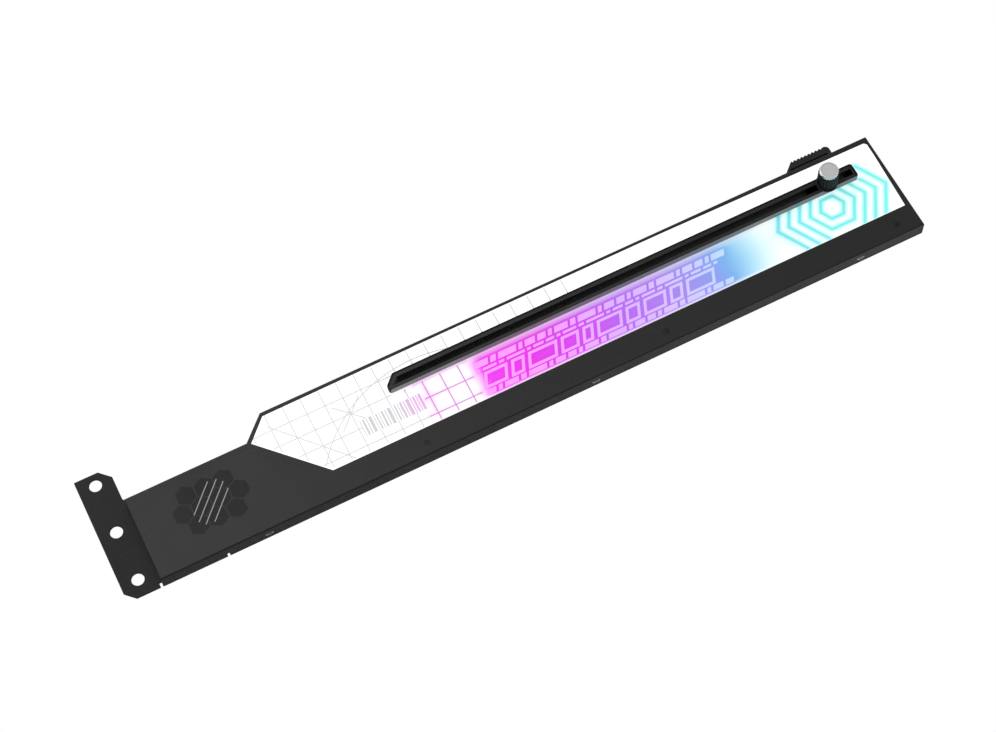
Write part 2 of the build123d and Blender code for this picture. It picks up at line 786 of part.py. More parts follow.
def print_rings():
    """The lit end of the window: nested hexagons around one point, cut by the window's edges."""
    centre = Pos(bar_right - HEX_INSET, HEX_RISE)
    marks = []
    for i in range(HEX_COUNT):
        radius = HEX_FIRST + i * HEX_PITCH
        ring = RegularPolygon(radius + HEX_STROKE / 2, 6) - RegularPolygon(radius - HEX_STROKE / 2, 6)
        marks.append(centre * ring)
    keep = region(band_right + BAND_GAP, window_z, bar_right, rim_base)
    keep += region(rim_right + BAND_GAP, rim_base, bar_right, rim_top)
    return printed([(Sketch() + marks) & keep])


def motif_cells():
    """A small honeycomb on the cover's neck, as a front-view shape."""
    step = (MOTIF_CELL + MOTIF_GAP / 2) * 2 * cos(radians(30))
    cells = []
    for row, count in enumerate(MOTIF_ROWS):
        z = motif_z + (row - (len(MOTIF_ROWS) - 1) / 2) * step * cos(radians(30))
        for i in range(count):
            x = motif_x + (i - (count - 1) / 2) * step
            cells.append(Pos(x, z) * Rot(0, 0, 30) * RegularPolygon(MOTIF_CELL, 6))
    return Sketch() + cells


def motif_strokes():
    """Slanted strokes across the honeycomb, as a front-view shape."""
    marks = []
    for i in range(MOTIF_STROKES):
        shift = (i - (MOTIF_STROKES - 1) / 2) * MOTIF_STROKE_STEP
        half = MOTIF_STROKE_LENGTH / 2 - abs(shift)
        dx, dz = half * cos(radians(WINDOW_SLANT)), half * sin(radians(WINDOW_SLANT))
        x, z = motif_x + shift, motif_z - shift
        marks.append(stroke((x - dx, z - dz), (x + dx, z + dz), MOTIF_STROKE))
    return Sketch() + marks


def cover_honeycomb():
    """Dark glossy cells printed on the cover's neck."""
    return slab(motif_cells() - motif_strokes(), y_face, y_face - MOTIF_FILM)


def cover_strokes():
    """Pale strokes printed across the cells."""
    return slab(motif_strokes(), y_face, y_face - MOTIF_FILM)


PIECES = {
    "back_plate": back_plate,
    "front_cover": front_cover,
    "screw_standoffs": screw_standoffs,
    "cover_screws": cover_screws,
    "slot_bezel": slot_bezel,
    "light_panel": light_panel,
    "diffuser_sheet": diffuser_sheet,
    "light_guide": light_guide,
    "reflector_sheet": reflector_sheet,
    "light_tray": light_tray,
    "led_board": led_board,
    "leds": leds,
    "led_lenses": led_lenses,
    "lead_socket": lead_socket,
    "socket_pins": socket_pins,
    "clamp_nut": clamp_nut,
    "knob_washer": knob_washer,
    "knob_body": knob_body,
    "knob_cap": knob_cap,
    "knob_screw": knob_screw,
    "support_arm": support_arm,
    "rubber_pad": rubber_pad,
    "print_draft_lines": print_draft_lines,
    "print_bars": print_bars,
    "print_grid_lit": print_grid_lit,
    "print_band_magenta": lambda: band_part(0),
    "print_band_violet": lambda: band_part(1),
    "print_band_blue": lambda: band_part(2),
    "print_rings_cyan": print_rings,
    "cover_honeycomb": cover_honeycomb,
    "cover_strokes": cover_strokes,
}

for name, make in PIECES.items():
    export_step(make(), f"parts/{name}.step")
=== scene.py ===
"""Looks of a graphics card support bracket: finishes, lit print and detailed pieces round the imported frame.

Everything is in metres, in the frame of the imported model: X along the bar, Z up, the lit face towards -Y.
"""

import json
import logging
import math
from contextlib import contextmanager
from dataclasses import dataclass
from enum import Enum
from typing import Callable, Iterator, Optional, Sequence

import bmesh
import bpy
from mathutils import Matrix, Vector
from mathutils.kdtree import KDTree


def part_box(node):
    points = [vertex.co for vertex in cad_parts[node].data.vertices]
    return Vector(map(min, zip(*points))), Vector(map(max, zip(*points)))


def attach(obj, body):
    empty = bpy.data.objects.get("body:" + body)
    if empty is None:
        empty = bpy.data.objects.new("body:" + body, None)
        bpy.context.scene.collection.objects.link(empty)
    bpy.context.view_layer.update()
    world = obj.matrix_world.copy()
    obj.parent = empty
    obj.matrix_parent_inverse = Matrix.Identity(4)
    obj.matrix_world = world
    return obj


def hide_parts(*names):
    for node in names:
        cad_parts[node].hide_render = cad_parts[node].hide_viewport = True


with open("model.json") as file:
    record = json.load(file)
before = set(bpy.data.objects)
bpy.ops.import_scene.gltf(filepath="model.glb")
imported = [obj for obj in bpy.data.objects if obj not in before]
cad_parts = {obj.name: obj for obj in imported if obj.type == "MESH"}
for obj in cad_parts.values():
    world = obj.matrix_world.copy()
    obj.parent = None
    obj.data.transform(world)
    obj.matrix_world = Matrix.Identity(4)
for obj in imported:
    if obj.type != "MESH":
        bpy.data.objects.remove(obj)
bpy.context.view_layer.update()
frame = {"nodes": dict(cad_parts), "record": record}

LOG = logging.getLogger("bracket")
MM = 0.001
SQUARE_LEAN = math.sqrt(0.5)
FACING_FRONT = (math.radians(90.0), 0.0, 0.0)
ALONG = Vector((1.0, 0.0, 0.0))
UP = Vector((0.0, 0.0, 1.0))
WHITE = (1.0, 1.0, 1.0, 1.0)
BLACK = (0.0, 0.0, 0.0, 1.0)

Colour = tuple[float, float, float]
Point = tuple[float, float, float]
Pair = tuple[float, float]
Piece = bpy.types.Object
Node = bpy.types.Node
Socket = bpy.types.NodeSocket
Tree = bpy.types.NodeTree


class Body(Enum):
    """The bodies that new pieces ride on."""

    BAR = "bar"
    REST = "rest"
    KNOB = "knob"


class Bench:
    """Hand tools for shaping a mesh: each works on one object and leaves nothing selected."""

    MERGE_GAP = 0.002 * MM
    FLAT_DEG = 0.5
    SMOOTH_DEG = 35.0
    EASE_SEGMENTS = 2
    FULL_WEIGHT = 100

    @staticmethod
    def clear() -> None:
        """Deselects every object."""
        if bpy.context.object and bpy.context.object.mode != "OBJECT":
            bpy.ops.object.mode_set(mode="OBJECT")
        bpy.ops.object.select_all(action="DESELECT")

    @staticmethod
    def take(piece: Piece) -> None:
        """Makes one object the selected and active one.

        Args:
            piece: the object to work on.
        """
        Bench.clear()
        piece.select_set(True)
        bpy.context.view_layer.objects.active = piece

    @staticmethod
    def apply() -> None:
        """Moves the active object's place into its mesh."""
        bpy.ops.object.transform_apply(location=True, rotation=True, scale=True)

    @staticmethod
    @contextmanager
    def shaping(piece: Piece) -> Iterator[None]:
        """Enters edit mode on a piece with nothing selected, and leaves it at the end.

        Args:
            piece: the object to shape.

        Returns:
            The time in edit mode, as a context.
        """
        Bench.take(piece)
        bpy.ops.object.mode_set(mode="EDIT")
        bpy.ops.mesh.select_mode(type="FACE")
        bpy.ops.mesh.select_all(action="DESELECT")
        yield
        bpy.ops.object.mode_set(mode="OBJECT")

    @staticmethod
    def pick(piece: Piece, test: Callable[[object], bool], kind: str = "FACE") -> None:
        """Selects the faces or the edges that pass a test, in edit mode.

        Args:
            piece: the object in edit mode.
            test: says whether a face or an edge is wanted.
            kind: FACE or EDGE.
        """
        bpy.ops.mesh.select_mode(type=kind)
        mesh = bmesh.from_edit_mesh(piece.data)
        bpy.ops.mesh.select_all(action="DESELECT")
        for part in mesh.faces if kind == "FACE" else mesh.edges:
            if test(part):
                part.select_set(True)
        mesh.select_flush_mode()
        bmesh.update_edit_mesh(piece.data)

    @staticmethod
    def cut(place: Sequence[float], outward: Sequence[float], **cleared: bool) -> None:
        """Cuts the whole mesh in edit mode along a plane.

        Args:
            place: a point of the plane.
            outward: the plane's normal.
            cleared: the sides to take away, as bisect names them.
        """
        bpy.ops.mesh.select_all(action="SELECT")
        bpy.ops.mesh.bisect(plane_co=place, plane_no=outward, **cleared)

    @staticmethod
    def thicken(move: Point) -> None:
        """Makes a closed body of the flat mesh in edit mode.

        Args:
            move: the way from its face to the opposite one.
        """
        bpy.ops.mesh.select_all(action="SELECT")
        bpy.ops.mesh.extrude_region_move(TRANSFORM_OT_translate={"value": move})
        bpy.ops.mesh.select_all(action="SELECT")
        bpy.ops.mesh.normals_make_consistent(inside=False)

    @staticmethod
    def modify(piece: Piece, kind: str, **settings: object) -> None:
        """Adds a modifier, sets it and applies it.

        Args:
            piece: the object that gets the modifier.
            kind: the modifier's type.
            settings: the modifier's values by name.
        """
        Bench.take(piece)
        modifier = piece.modifiers.new(kind.title(), kind)
        for name, value in settings.items():
            setattr(modifier, name, value)
        bpy.ops.object.modifier_apply(modifier=modifier.name)

    @staticmethod
    def ease(piece: Piece, width: float, sharp_deg: float) -> None:
        """Rounds a piece's sharp edges and keeps its flat faces flat in shading.

        Args:
            piece: the object.
            width: the rounding's width.
            sharp_deg: edges sharper than this are rounded.
        """
        Bench.modify(piece, "BEVEL", width=width, segments=Bench.EASE_SEGMENTS, limit_method="ANGLE",
                     angle_limit=math.radians(sharp_deg), use_clamp_overlap=False)
        Bench.take(piece)
        bpy.ops.object.shade_smooth_by_angle(angle=math.radians(Bench.SMOOTH_DEG))
        Bench.modify(piece, "WEIGHTED_NORMAL", keep_sharp=True, weight=Bench.FULL_WEIGHT)

    @staticmethod
    def settle(piece: Piece, name: str, smooth_deg: float = SMOOTH_DEG) -> Piece:
        """Moves a piece's place into its mesh, names it and smooths its shallow edges.

        Args:
            piece: the finished object.
            name: the name it keeps.
            smooth_deg: edges flatter than this are shaded smooth.

        Returns:
            The same object.
        """
        Bench.take(piece)
        Bench.apply()
        if not piece.data.has_custom_normals:
            bpy.ops.object.shade_smooth_by_angle(angle=math.radians(smooth_deg))
        piece.name = name
        piece.data.name = name
        Bench.clear()
        return piece

    @staticmethod
    def joined(parts: Sequence[Piece], name: str) -> Piece:
        """Joins objects into one settled piece.

        Args:
            parts: the objects.
            name: the piece's name.

        Returns:
            The piece.
        """
        Bench.take(parts[0])
        for part in parts:
            part.select_set(True)
        bpy.ops.object.join()
        return Bench.settle(bpy.context.object, name)

    @staticmethod
    def copy_of(node: str) -> Piece:
        """A merged copy of a node's mesh, free to be shaped.

        Args:
            node: the node's name.

        Returns:
            The new object.
        """
        source = frame["nodes"][node]
        piece = bpy.data.objects.new(f"{node}_finished", source.data.copy())
        piece.data.materials.clear()
        bpy.context.scene.collection.objects.link(piece)
        with Bench.shaping(piece):
            bpy.ops.mesh.select_all(action="SELECT")
            bpy.ops.mesh.remove_doubles(threshold=Bench.MERGE_GAP)
            bpy.ops.mesh.dissolve_limited(angle_limit=math.radians(Bench.FLAT_DEG))
        return piece


class NodeSheet:
    """A node tree with short calls for adding and joining nodes."""

    def __init__(self, tree: Tree) -> None:
        """Takes the tree to write in."""
        self.tree = tree

    def add(self, kind: str, inputs: Optional[dict] = None, **settings: object) -> Node:
        """Adds a node.

        Args:
            kind: the node's type name.
            inputs: values or sockets to join, by the name or number of the input.
            settings: the node's own properties.

        Returns:
            The new node.
        """
        node = self.tree.nodes.new(kind)
        for name, value in settings.items():
            setattr(node, name, value)
        for key, value in (inputs or {}).items():
            if isinstance(value, Socket):
                self.join(value, node.inputs[key])
            else:
                node.inputs[key].default_value = value
        return node

    def join(self, source: Socket, target: Socket) -> None:
        """Joins an output to an input."""
        self.tree.links.new(source, target)

    def place(self) -> Socket:
        """The object's own coordinates."""
        return self.add("ShaderNodeTexCoord").outputs["Object"]

    def axes(self) -> Sequence[Socket]:
        """The object's own coordinates, one socket for each axis."""
        return self.add("ShaderNodeSeparateXYZ", {0: self.place()}).outputs

    def maths(self, operation: str, first: object, second: object = 0.0) -> Socket:
        """The result of a maths node on two values or sockets."""
        return self.add("ShaderNodeMath", {0: first, 1: second}, operation=operation).outputs[0]

    def times(self, first: object, second: object) -> Socket:
        """The product of two values or sockets."""
        return self.maths("MULTIPLY", first, second)

    def noise(self, place: Socket, scale: object, detail: float, rough: float = 0.5) -> Socket:
        """A noise over a place, with its scale, detail and roughness."""
        inputs = {"Vector": place, "Scale": scale, "Detail": detail, "Roughness": rough}
        return self.add("ShaderNodeTexNoise", inputs).outputs[0]

    def span(self, value: Socket, given: Sequence[object], made: Pair = (0.0, 1.0)) -> Socket:
        """A value carried from one range to another and held at its ends."""
        ends = {"From Min": given[0], "From Max": given[1], "To Min": made[0], "To Max": made[1]}
        return self.add("ShaderNodeMapRange", {"Value": value, **ends}).outputs[0]

    def scaled(self, colour: Socket, amount: Socket) -> Socket:
        """A colour times an amount."""
        return self.add("ShaderNodeVectorMath", {0: colour, "Scale": amount}, operation="SCALE").outputs[0]

    def blend(self, amount: object, first: object, second: object, how: str = "MIX") -> Socket:
        """Two colours mixed, with the second one's share first."""
        inputs = {0: amount, 6: first, 7: second}
        return self.add("ShaderNodeMix", inputs, data_type="RGBA", blend_type=how).outputs[2]

    def ramp(self, value: Socket, stops: Sequence[tuple[float, Colour]]) -> Socket:
        """A colour ramp over a value.

        Args:
            value: the socket that drives it.
            stops: pairs of place and colour.

        Returns:
            The colour socket.
        """
        node = self.add("ShaderNodeValToRGB", {0: value})
        elements = node.color_ramp.elements
        while len(elements) < len(stops):
            elements.new(0.5)
        for element, (place, colour) in zip(elements, stops):
            element.position = place
            element.color = opaque(colour)
        return node.outputs[0]


def opaque(colour: Colour) -> tuple[float, float, float, float]:
    """A colour with full alpha."""
    return (*colour, 1.0)


class Effects:
    """Shader groups that several finishes share."""

    FINE_DETAIL, FINE_ROUGHNESS = 3.0, 0.6
    CLOUD_SCALE, CLOUD_DETAIL = 45.0, 4.0
    HAIR_TURNS, HAIR_STRETCH, HAIR_LIMITS = (0.5, 2.1), (60.0, 60.0, 2600.0), (0.69, 0.74)
    PATCH_SCALE, PATCH_DETAIL, PATCH_LIMITS = 30.0, 2.0, (0.5, 0.62)
    SPECTRUM_SPAN = (0.118, 0.318)
    SPECTRUM = (
        (0.00, (0.75, 0.045, 0.75)), (0.16, (0.76, 0.030, 0.76)), (0.235, (0.68, 0.030, 0.70)),
        (0.31, (0.58, 0.050, 0.74)), (0.41, (0.42, 0.110, 0.76)), (0.51, (0.36, 0.19, 0.74)),
        (0.61, (0.22, 0.31, 0.74)), (0.66, (0.15, 0.45, 0.74)), (0.72, (0.09, 0.60, 0.74)),
        (0.82, (0.06, 0.80, 0.82)), (1.00, (0.07, 0.86, 0.78)),
    )

    _made: dict[str, Tree] = {}

    @classmethod
    def group(cls, name: str, inputs: dict[str, object], outputs: dict[str, str],
              write: Callable[[NodeSheet, Node, Node], None]) -> Tree:
        """Makes a group once and keeps it.

        Args:
            name: the group's name.
            inputs: the default value of each input.
            outputs: the socket type of each output.
            write: fills the group.

        Returns:
            The group's tree.
        """
        if name in cls._made:
            return cls._made[name]
        tree = bpy.data.node_groups.new(name, "ShaderNodeTree")
        for key, value in inputs.items():
            kind = "NodeSocketFloat" if isinstance(value, float) else "NodeSocketColor"
            tree.interface.new_socket(key, in_out="INPUT", socket_type=kind).default_value = value
        for key, kind in outputs.items():
            tree.interface.new_socket(key, in_out="OUTPUT", socket_type=kind)
        sheet = NodeSheet(tree)
        write(sheet, sheet.add("NodeGroupInput"), sheet.add("NodeGroupOutput"))
        cls._made[name] = tree
        return tree

    @classmethod
    def grain(cls) -> Tree:
        """Fine surface grain: a colour with cloudy variation, a roughness and a height."""

        def write(sheet: NodeSheet, given: Node, out: Node) -> None:
            """Fills the group."""
            place = sheet.place()
            fine = sheet.noise(place, given.outputs["Scale"], cls.FINE_DETAIL, cls.FINE_ROUGHNESS)
            cloud = sheet.maths("SUBTRACT", sheet.noise(place, cls.CLOUD_SCALE, cls.CLOUD_DETAIL), 0.5)
            factor = sheet.maths("ADD", sheet.times(cloud, given.outputs["Variation"]), 1.0)
            sheet.join(sheet.scaled(given.outputs["Colour"], factor), out.inputs["Colour"])
            spread = sheet.times(sheet.maths("SUBTRACT", fine, 0.5), given.outputs["Spread"])
            rough = sheet.maths("ADD", given.outputs["Roughness"], spread)
            rough = sheet.maths("ADD", rough, sheet.times(cloud, given.outputs["Spread"]))
            sheet.join(rough, out.inputs["Roughness"])
            sheet.join(fine, out.inputs["Height"])

        return cls.group(
            "fine_grain",
            {"Colour": (0.5, 0.5, 0.5, 1.0), "Scale": 3000.0, "Variation": 0.1, "Roughness": 0.5,
             "Spread": 0.1},
            {"Colour": "NodeSocketColor", "Roughness": "NodeSocketFloat", "Height": "NodeSocketFloat"},
            write,
        )

    @classmethod
    def scuffs(cls) -> Tree:
        """Sparse handling marks: short hair scratches in two directions, as a mask."""

        def write(sheet: NodeSheet, given: Node, out: Node) -> None:
            """Fills the group."""
            place = sheet.place()
            marks = []
            for turn in cls.HAIR_TURNS:
                edge_shade_share = sheet.add("ShaderNodeMapping", {"Vector": place, "Rotation": (0.0, turn, 0.0),
                                                         "Scale": cls.HAIR_STRETCH}).outputs[0]
                marks.append(sheet.span(sheet.noise(edge_shade_share, 1.0, 1.0), cls.HAIR_LIMITS))
            both = sheet.maths("MAXIMUM", *marks)
            patches = sheet.span(sheet.noise(place, cls.PATCH_SCALE, cls.PATCH_DETAIL), cls.PATCH_LIMITS)
            mask = sheet.times(sheet.times(both, patches), given.outputs["Amount"])
            sheet.join(mask, out.inputs["Mask"])

        return cls.group("hair_scuffs", {"Amount": 0.3}, {"Mask": "NodeSocketFloat"}, write)

    @classmethod
    def spectrum(cls) -> Tree:
        """The lighting's colour along the bar: magenta, violet, blue, then cyan at the free end."""

        def write(sheet: NodeSheet, given: Node, out: Node) -> None:
            """Fills the group."""
            share = sheet.span(sheet.axes()[0], (given.outputs["Start"], given.outputs["End"]))
            sheet.join(sheet.ramp(share, cls.SPECTRUM), out.inputs["Colour"])

        start, end = cls.SPECTRUM_SPAN
        inputs = {"Start": start, "End": end}
        return cls.group("light_spectrum", inputs, {"Colour": "NodeSocketColor"}, write)

    @classmethod
    def tint(cls, sheet: NodeSheet) -> Socket:
        """The lighting's colour in a material."""
        return sheet.add("ShaderNodeGroup", node_tree=cls.spectrum()).outputs["Colour"]


@dataclass(frozen=True)
class Finish:
    """A surface finish with grain and light handling marks.

    Attributes:
        slot: the record's material slot.
        colour: linear base colour.
        roughness: middle roughness.
        metallic: 1 for bare metal.
        specular: level of the plain reflection.
        coat: weight of a clear coat.
        coat_roughness: roughness of that coat.
        grain: scale of the fine grain.
        depth: height of the grain in millimetres.
        relief: strength of the grain.
        variation: swing of the colour, as a share.
        spread: swing of the roughness.
        scuffs: strength of handling marks.
        bared: what a mark adds to the base colour, and what it multiplies it by.
        polish: what a mark takes off the roughness.
    """

    slot: str
    colour: Colour
    roughness: float
    metallic: float = 0.0
    specular: float = 0.5
    coat: float = 0.0
    coat_roughness: float = 0.12
    grain: float = 3000.0
    depth: float = 0.02
    relief: float = 0.6
    variation: float = 0.12
    spread: float = 0.12
    scuffs: float = 0.0
    bared: Pair = (0.10, 1.4)
    polish: float = 0.2

    def material(self) -> bpy.types.Material:
        """The finish as a material, made once.

        Returns:
            The material.
        """
        name = f"finish_{self.slot}"
        if name in bpy.data.materials:
            return bpy.data.materials[name]
        material = bpy.data.materials.new(name)
        material.use_nodes = True
        self.dress(NodeSheet(material.node_tree), material.node_tree.nodes["Principled BSDF"])
        return material

    def dress(self, sheet: NodeSheet, shader: Node) -> None:
        """Writes the finish's nodes.

        Args:
            sheet: the material's nodes.
            shader: its Principled shader.
        """
        grain = sheet.add("ShaderNodeGroup", {
            "Colour": opaque(self.colour), "Scale": self.grain, "Variation": self.variation,
            "Roughness": self.roughness, "Spread": self.spread,
        }, node_tree=Effects.grain())
        bump = sheet.add("ShaderNodeBump", {"Height": self.height(sheet, grain), "Strength": self.relief,
                                            "Distance": self.depth * MM})
        sheet.join(bump.outputs[0], shader.inputs["Normal"])
        for name, value in (("Metallic", self.metallic), ("Specular IOR Level", self.specular),
                            ("Coat Weight", self.coat), ("Coat Roughness", self.coat_roughness)):
            shader.inputs[name].default_value = value
        sheet.join(grain.outputs["Roughness"], shader.inputs["Roughness"])
        sheet.join(self.base(sheet, shader, grain), shader.inputs["Base Color"])

    def height(self, sheet: NodeSheet, grain: Node) -> Socket:
        """The surface's height: the grain's."""
        return grain.outputs["Height"]

    def base(self, sheet: NodeSheet, shader: Node, grain: Node) -> Socket:
        """The base colour: the grain's, lighter and smoother at handling marks.

        Args:
            sheet: the material's nodes.
            shader: its Principled shader.
            grain: its grain.

        Returns:
            The colour's socket.
        """
        if not self.scuffs:
            return grain.outputs["Colour"]
        marks = sheet.add("ShaderNodeGroup", {"Amount": self.scuffs}, node_tree=Effects.scuffs())
        mask = marks.outputs["Mask"]
        rough = sheet.maths("SUBTRACT", grain.outputs["Roughness"], sheet.times(mask, self.polish))
        sheet.join(rough, shader.inputs["Roughness"])
        added, factor = self.bared
        lighter = tuple(min(1.0, added + factor * part) for part in self.colour)
        return sheet.blend(mask, grain.outputs["Colour"], opaque(lighter))


@dataclass(frozen=True)
class PaintedShadeFinish(Finish):
    """A finish with painted shade: near black inside a deep opening, dark along its outer edge and outline
    and darker towards its right end, with painted light on its lower edge.

    Attributes:
        low: the opening's low corner, in metres.
        high: its high corner.
        fade: how deep the painted shade grows to full, in metres.
        left: what stays of the finish at full depth.
        painted_glow_top: height of the lower edge that is painted lighter, as Z in metres.
        lit: base colour of that edge, a painted reflection of the window's light.
        turn: how far behind the front face the painted dark outer edge starts and is full, in metres.
        edge_shade_share: what stays of the finish there, as painted shade.
        far_shade_share: what stays of the finish at the opening's right end, as painted shade.
        outline: the rim's top as Z, its slanted left end as X less Z, and its right end as X.
        margin: where the painted dark line along the outline starts and ends to fade out, in metres.
        outline_shade_share: what stays of the finish there, as painted shade.
    """

    low: Point = (0.0, 0.0, 0.0)
    high: Point = (0.0, 0.0, 0.0)
    fade: float = 0.6 * MM
    left: float = 0.05
    painted_glow_top: float = 0.0
    lit: Colour = (0.28, 0.29, 0.28)
    turn: Pair = (0.03 * MM, 0.12 * MM)
    edge_shade_share: float = 0.12
    far_shade_share: float = 0.57
    outline: Point = (1.0, -1.0, 1.0)
    margin: Pair = (0.9 * MM, 1.1 * MM)
    outline_shade_share: float = 0.3

    def base(self, sheet: NodeSheet, shader: Node, grain: Node) -> Socket:
        """The base colour: the grain's, darkened by painted shade in the opening, along the outer edge and
        outline and towards the right end, with a painted reflection of the window on the lower edge.
        """
        x, y, z = sheet.axes()
        within = 1.0
        for spot, low, high in ((x, self.low[0], self.high[0]), (z, self.low[2], self.high[2])):
            within = sheet.times(within, sheet.maths("GREATER_THAN", spot, low))
            within = sheet.times(within, sheet.maths("LESS_THAN", spot, high))
        front = self.low[1]
        # Painted shade: the finish darkens with depth inside the slot.
        deep = sheet.times(sheet.span(y, (front, front + self.fade)), within)
        # Painted shade: a dark band on the outer edge just behind the front face.
        behind = sheet.span(y, [front + reach for reach in self.turn])
        outside = sheet.times(behind, sheet.maths("SUBTRACT", 1.0, within))
        # Painted shade: a dark line along the rim's outline.
        top, slant, right = self.outline
        lean = sheet.maths("SUBTRACT", sheet.maths("SUBTRACT", x, z), slant)
        inward = sheet.times(lean, SQUARE_LEAN)
        for edge, spot in ((top, z), (right, x)):
            inward = sheet.maths("MINIMUM", inward, sheet.maths("SUBTRACT", edge, spot))
        # The painted shades multiply, and the finish is also painted darker towards the right end.
        stay = sheet.span(deep, (0.0, 1.0), (1.0, self.left))
        for share in (
            sheet.span(outside, (0.0, 1.0), (1.0, self.edge_shade_share)),
            sheet.span(x, (self.low[0], self.high[0]), (1.0, self.far_shade_share)),
            sheet.span(inward, self.margin, (self.outline_shade_share, 1.0)),
        ):
            stay = sheet.times(stay, share)
        shaded_colour = sheet.scaled(grain.outputs["Colour"], stay)
        # Painted light: the lower edge takes a lighter colour, a painted reflection of the window's light.
        return sheet.blend(sheet.maths("LESS_THAN", z, self.painted_glow_top), shaded_colour, opaque(self.lit))


@dataclass(frozen=True)
class SpunFinish(Finish):
    """Bare metal turned round an axis along Y: fine rings round a centre.

    Attributes:
        centre: the axis, as X and Z in metres.
        rings: how many rings a metre holds.
        wave: share of the even rings in the height.
        tone: lowest tone of the rings, and how much the noise adds.
    """

    centre: Pair = (0.0, 0.0)
    rings: float = 9000.0
    wave: float = 0.3
    tone: Pair = (0.92, 0.16)

    def turning(self, sheet: NodeSheet) -> tuple[Socket, Socket]:
        """The distance from the axis, and a noise that changes with it alone."""
        shift = (-self.centre[0], 0.0, -self.centre[1])
        shifted = sheet.add("ShaderNodeMapping", {"Vector": sheet.place(), "Location": shift}).outputs[0]
        flat = sheet.add("ShaderNodeVectorMath", {0: shifted, 1: (1.0, 0.0, 1.0)}, operation="MULTIPLY")
        length = sheet.add("ShaderNodeVectorMath", {0: flat.outputs[0]}, operation="LENGTH")
        radius = length.outputs["Value"]
        inputs = {"W": sheet.times(radius, self.rings), "Scale": 1.0}
        return radius, sheet.add("ShaderNodeTexNoise", inputs, noise_dimensions="1D").outputs[0]

    def height(self, sheet: NodeSheet, grain: Node) -> Socket:
        """The surface's height: even rings and uneven ones."""
        radius, noise = self.turning(sheet)
        even = sheet.maths("SINE", sheet.times(radius, self.rings * 2 * math.pi / 3))
        return sheet.maths("ADD", sheet.times(even, self.wave), noise)

    def base(self, sheet: NodeSheet, shader: Node, grain: Node) -> Socket:
        """The base colour: the grain's, in rings."""
        tone = sheet.maths("ADD", sheet.times(self.turning(sheet)[1], self.tone[1]), self.tone[0])
        return sheet.scaled(grain.outputs["Colour"], tone)


@dataclass(frozen=True)
class GlowFinish(Finish):
    """A finish with light of its own, in the colour of its place along the bar.

    Attributes:
        glow: strength of its own light.
    """

    glow: float = 0.5

    def shine(self, sheet: NodeSheet, shader: Node, tint: Socket) -> None:
        """Makes a colour the light that the surface gives."""
        sheet.join(tint, shader.inputs["Emission Color"])
        shader.inputs["Emission Strength"].default_value = self.glow


@dataclass(frozen=True)
class PrintFinish(GlowFinish):
    """Printed film that light shines through.

    Attributes:
        share: how much of the light's colour it keeps; the rest is white.
    """

    share: float = 0.9

    def base(self, sheet: NodeSheet, shader: Node, grain: Node) -> Socket:
        """The base colour: the spectrum, which is the light's colour too."""
        tint = sheet.blend(self.share, WHITE, Effects.tint(sheet))
        self.shine(sheet, shader, tint)
        return sheet.blend(1.0, tint, grain.outputs["Colour"], "MULTIPLY")


@dataclass(frozen=True)
class BlushFinish(GlowFinish):
    """Grey print that takes on the light's colour towards its right end.

    Attributes:
        reach: X where the colour starts and where it is full, in metres.
        share: the colour's share there.
    """

    reach: Pair = (0.0, 1.0)
    share: float = 0.36

    def base(self, sheet: NodeSheet, shader: Node, grain: Node) -> Socket:
        """The base colour: grey, blended into the spectrum."""
        amount = sheet.span(sheet.axes()[0], self.reach, (0.0, self.share))
        tint = Effects.tint(sheet)
        self.shine(sheet, shader, sheet.blend(amount, BLACK, tint))
        return sheet.blend(amount, grain.outputs["Colour"], tint)


@dataclass(frozen=True)
class WindowFinish(GlowFinish):
    """The white window, lit from within: an attribute says how much colour each place has.

    Attributes:
        attribute: the mesh attribute with the colour's share.
    """

    attribute: str = "glow"

    def base(self, sheet: NodeSheet, shader: Node, grain: Node) -> Socket:
        """The base colour: white, with the spectrum where the print glows."""
        share = sheet.add("ShaderNodeAttribute", attribute_name=self.attribute).outputs["Fac"]
        lit = sheet.blend(share, WHITE, Effects.tint(sheet))
        self.shine(sheet, shader, lit)
        return sheet.blend(1.0, lit, grain.outputs["Colour"], "MULTIPLY")


@dataclass(frozen=True)
class ClearFinish(Finish):
    """Clear acrylic.

    Attributes:
        clear: how much light it lets through.
        bend: its index of refraction.
    """

    clear: float = 0.9
    bend: float = 1.49

    def dress(self, sheet: NodeSheet, shader: Node) -> None:
        """Writes the finish's nodes: grain for the polish, and light let through.

        Args:
            sheet: the material's nodes.
            shader: its Principled shader.
        """
        super().dress(sheet, shader)
        shader.inputs["Transmission Weight"].default_value = self.clear
        shader.inputs["IOR"].default_value = self.bend


def slot_box() -> tuple[Point, Point]:
    """The room inside the slot, from the frame: the bar's back plate is cut to the slot's outline.

    Returns:
        Its low and its high corner.
    """
    rim_low, rim_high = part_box("slot_bezel")
    edge, skin = 0.3 * MM, 0.05 * MM
    cut = [v.co for v in frame["nodes"]["back_plate"].data.vertices
           if rim_low.x + edge < v.co.x < rim_high.x - edge
           and rim_low.z + edge < v.co.z < rim_high.z - edge]
    low = (min(co.x for co in cut) - skin, rim_low.y, min(co.z for co in cut) - skin)
    high = (max(co.x for co in cut) + skin, rim_high.y, max(co.z for co in cut) + skin)
    return low, high


def rim_outline() -> Point:
    """The rim's top as Z, its slanted left end as X less Z, and its right end as X."""
    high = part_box("slot_bezel")[1]
    return (high.z, min(v.co.x - v.co.z for v in frame["nodes"]["slot_bezel"].data.vertices), high.x)


def knob_axis() -> Pair:
    """The clamp's axis, as X and Z in metres, from the frame."""
    low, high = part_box("knob_cap")
    return ((low.x + high.x) / 2, (low.z + high.z) / 2)


SLOT_LOW, SLOT_HIGH = slot_box()
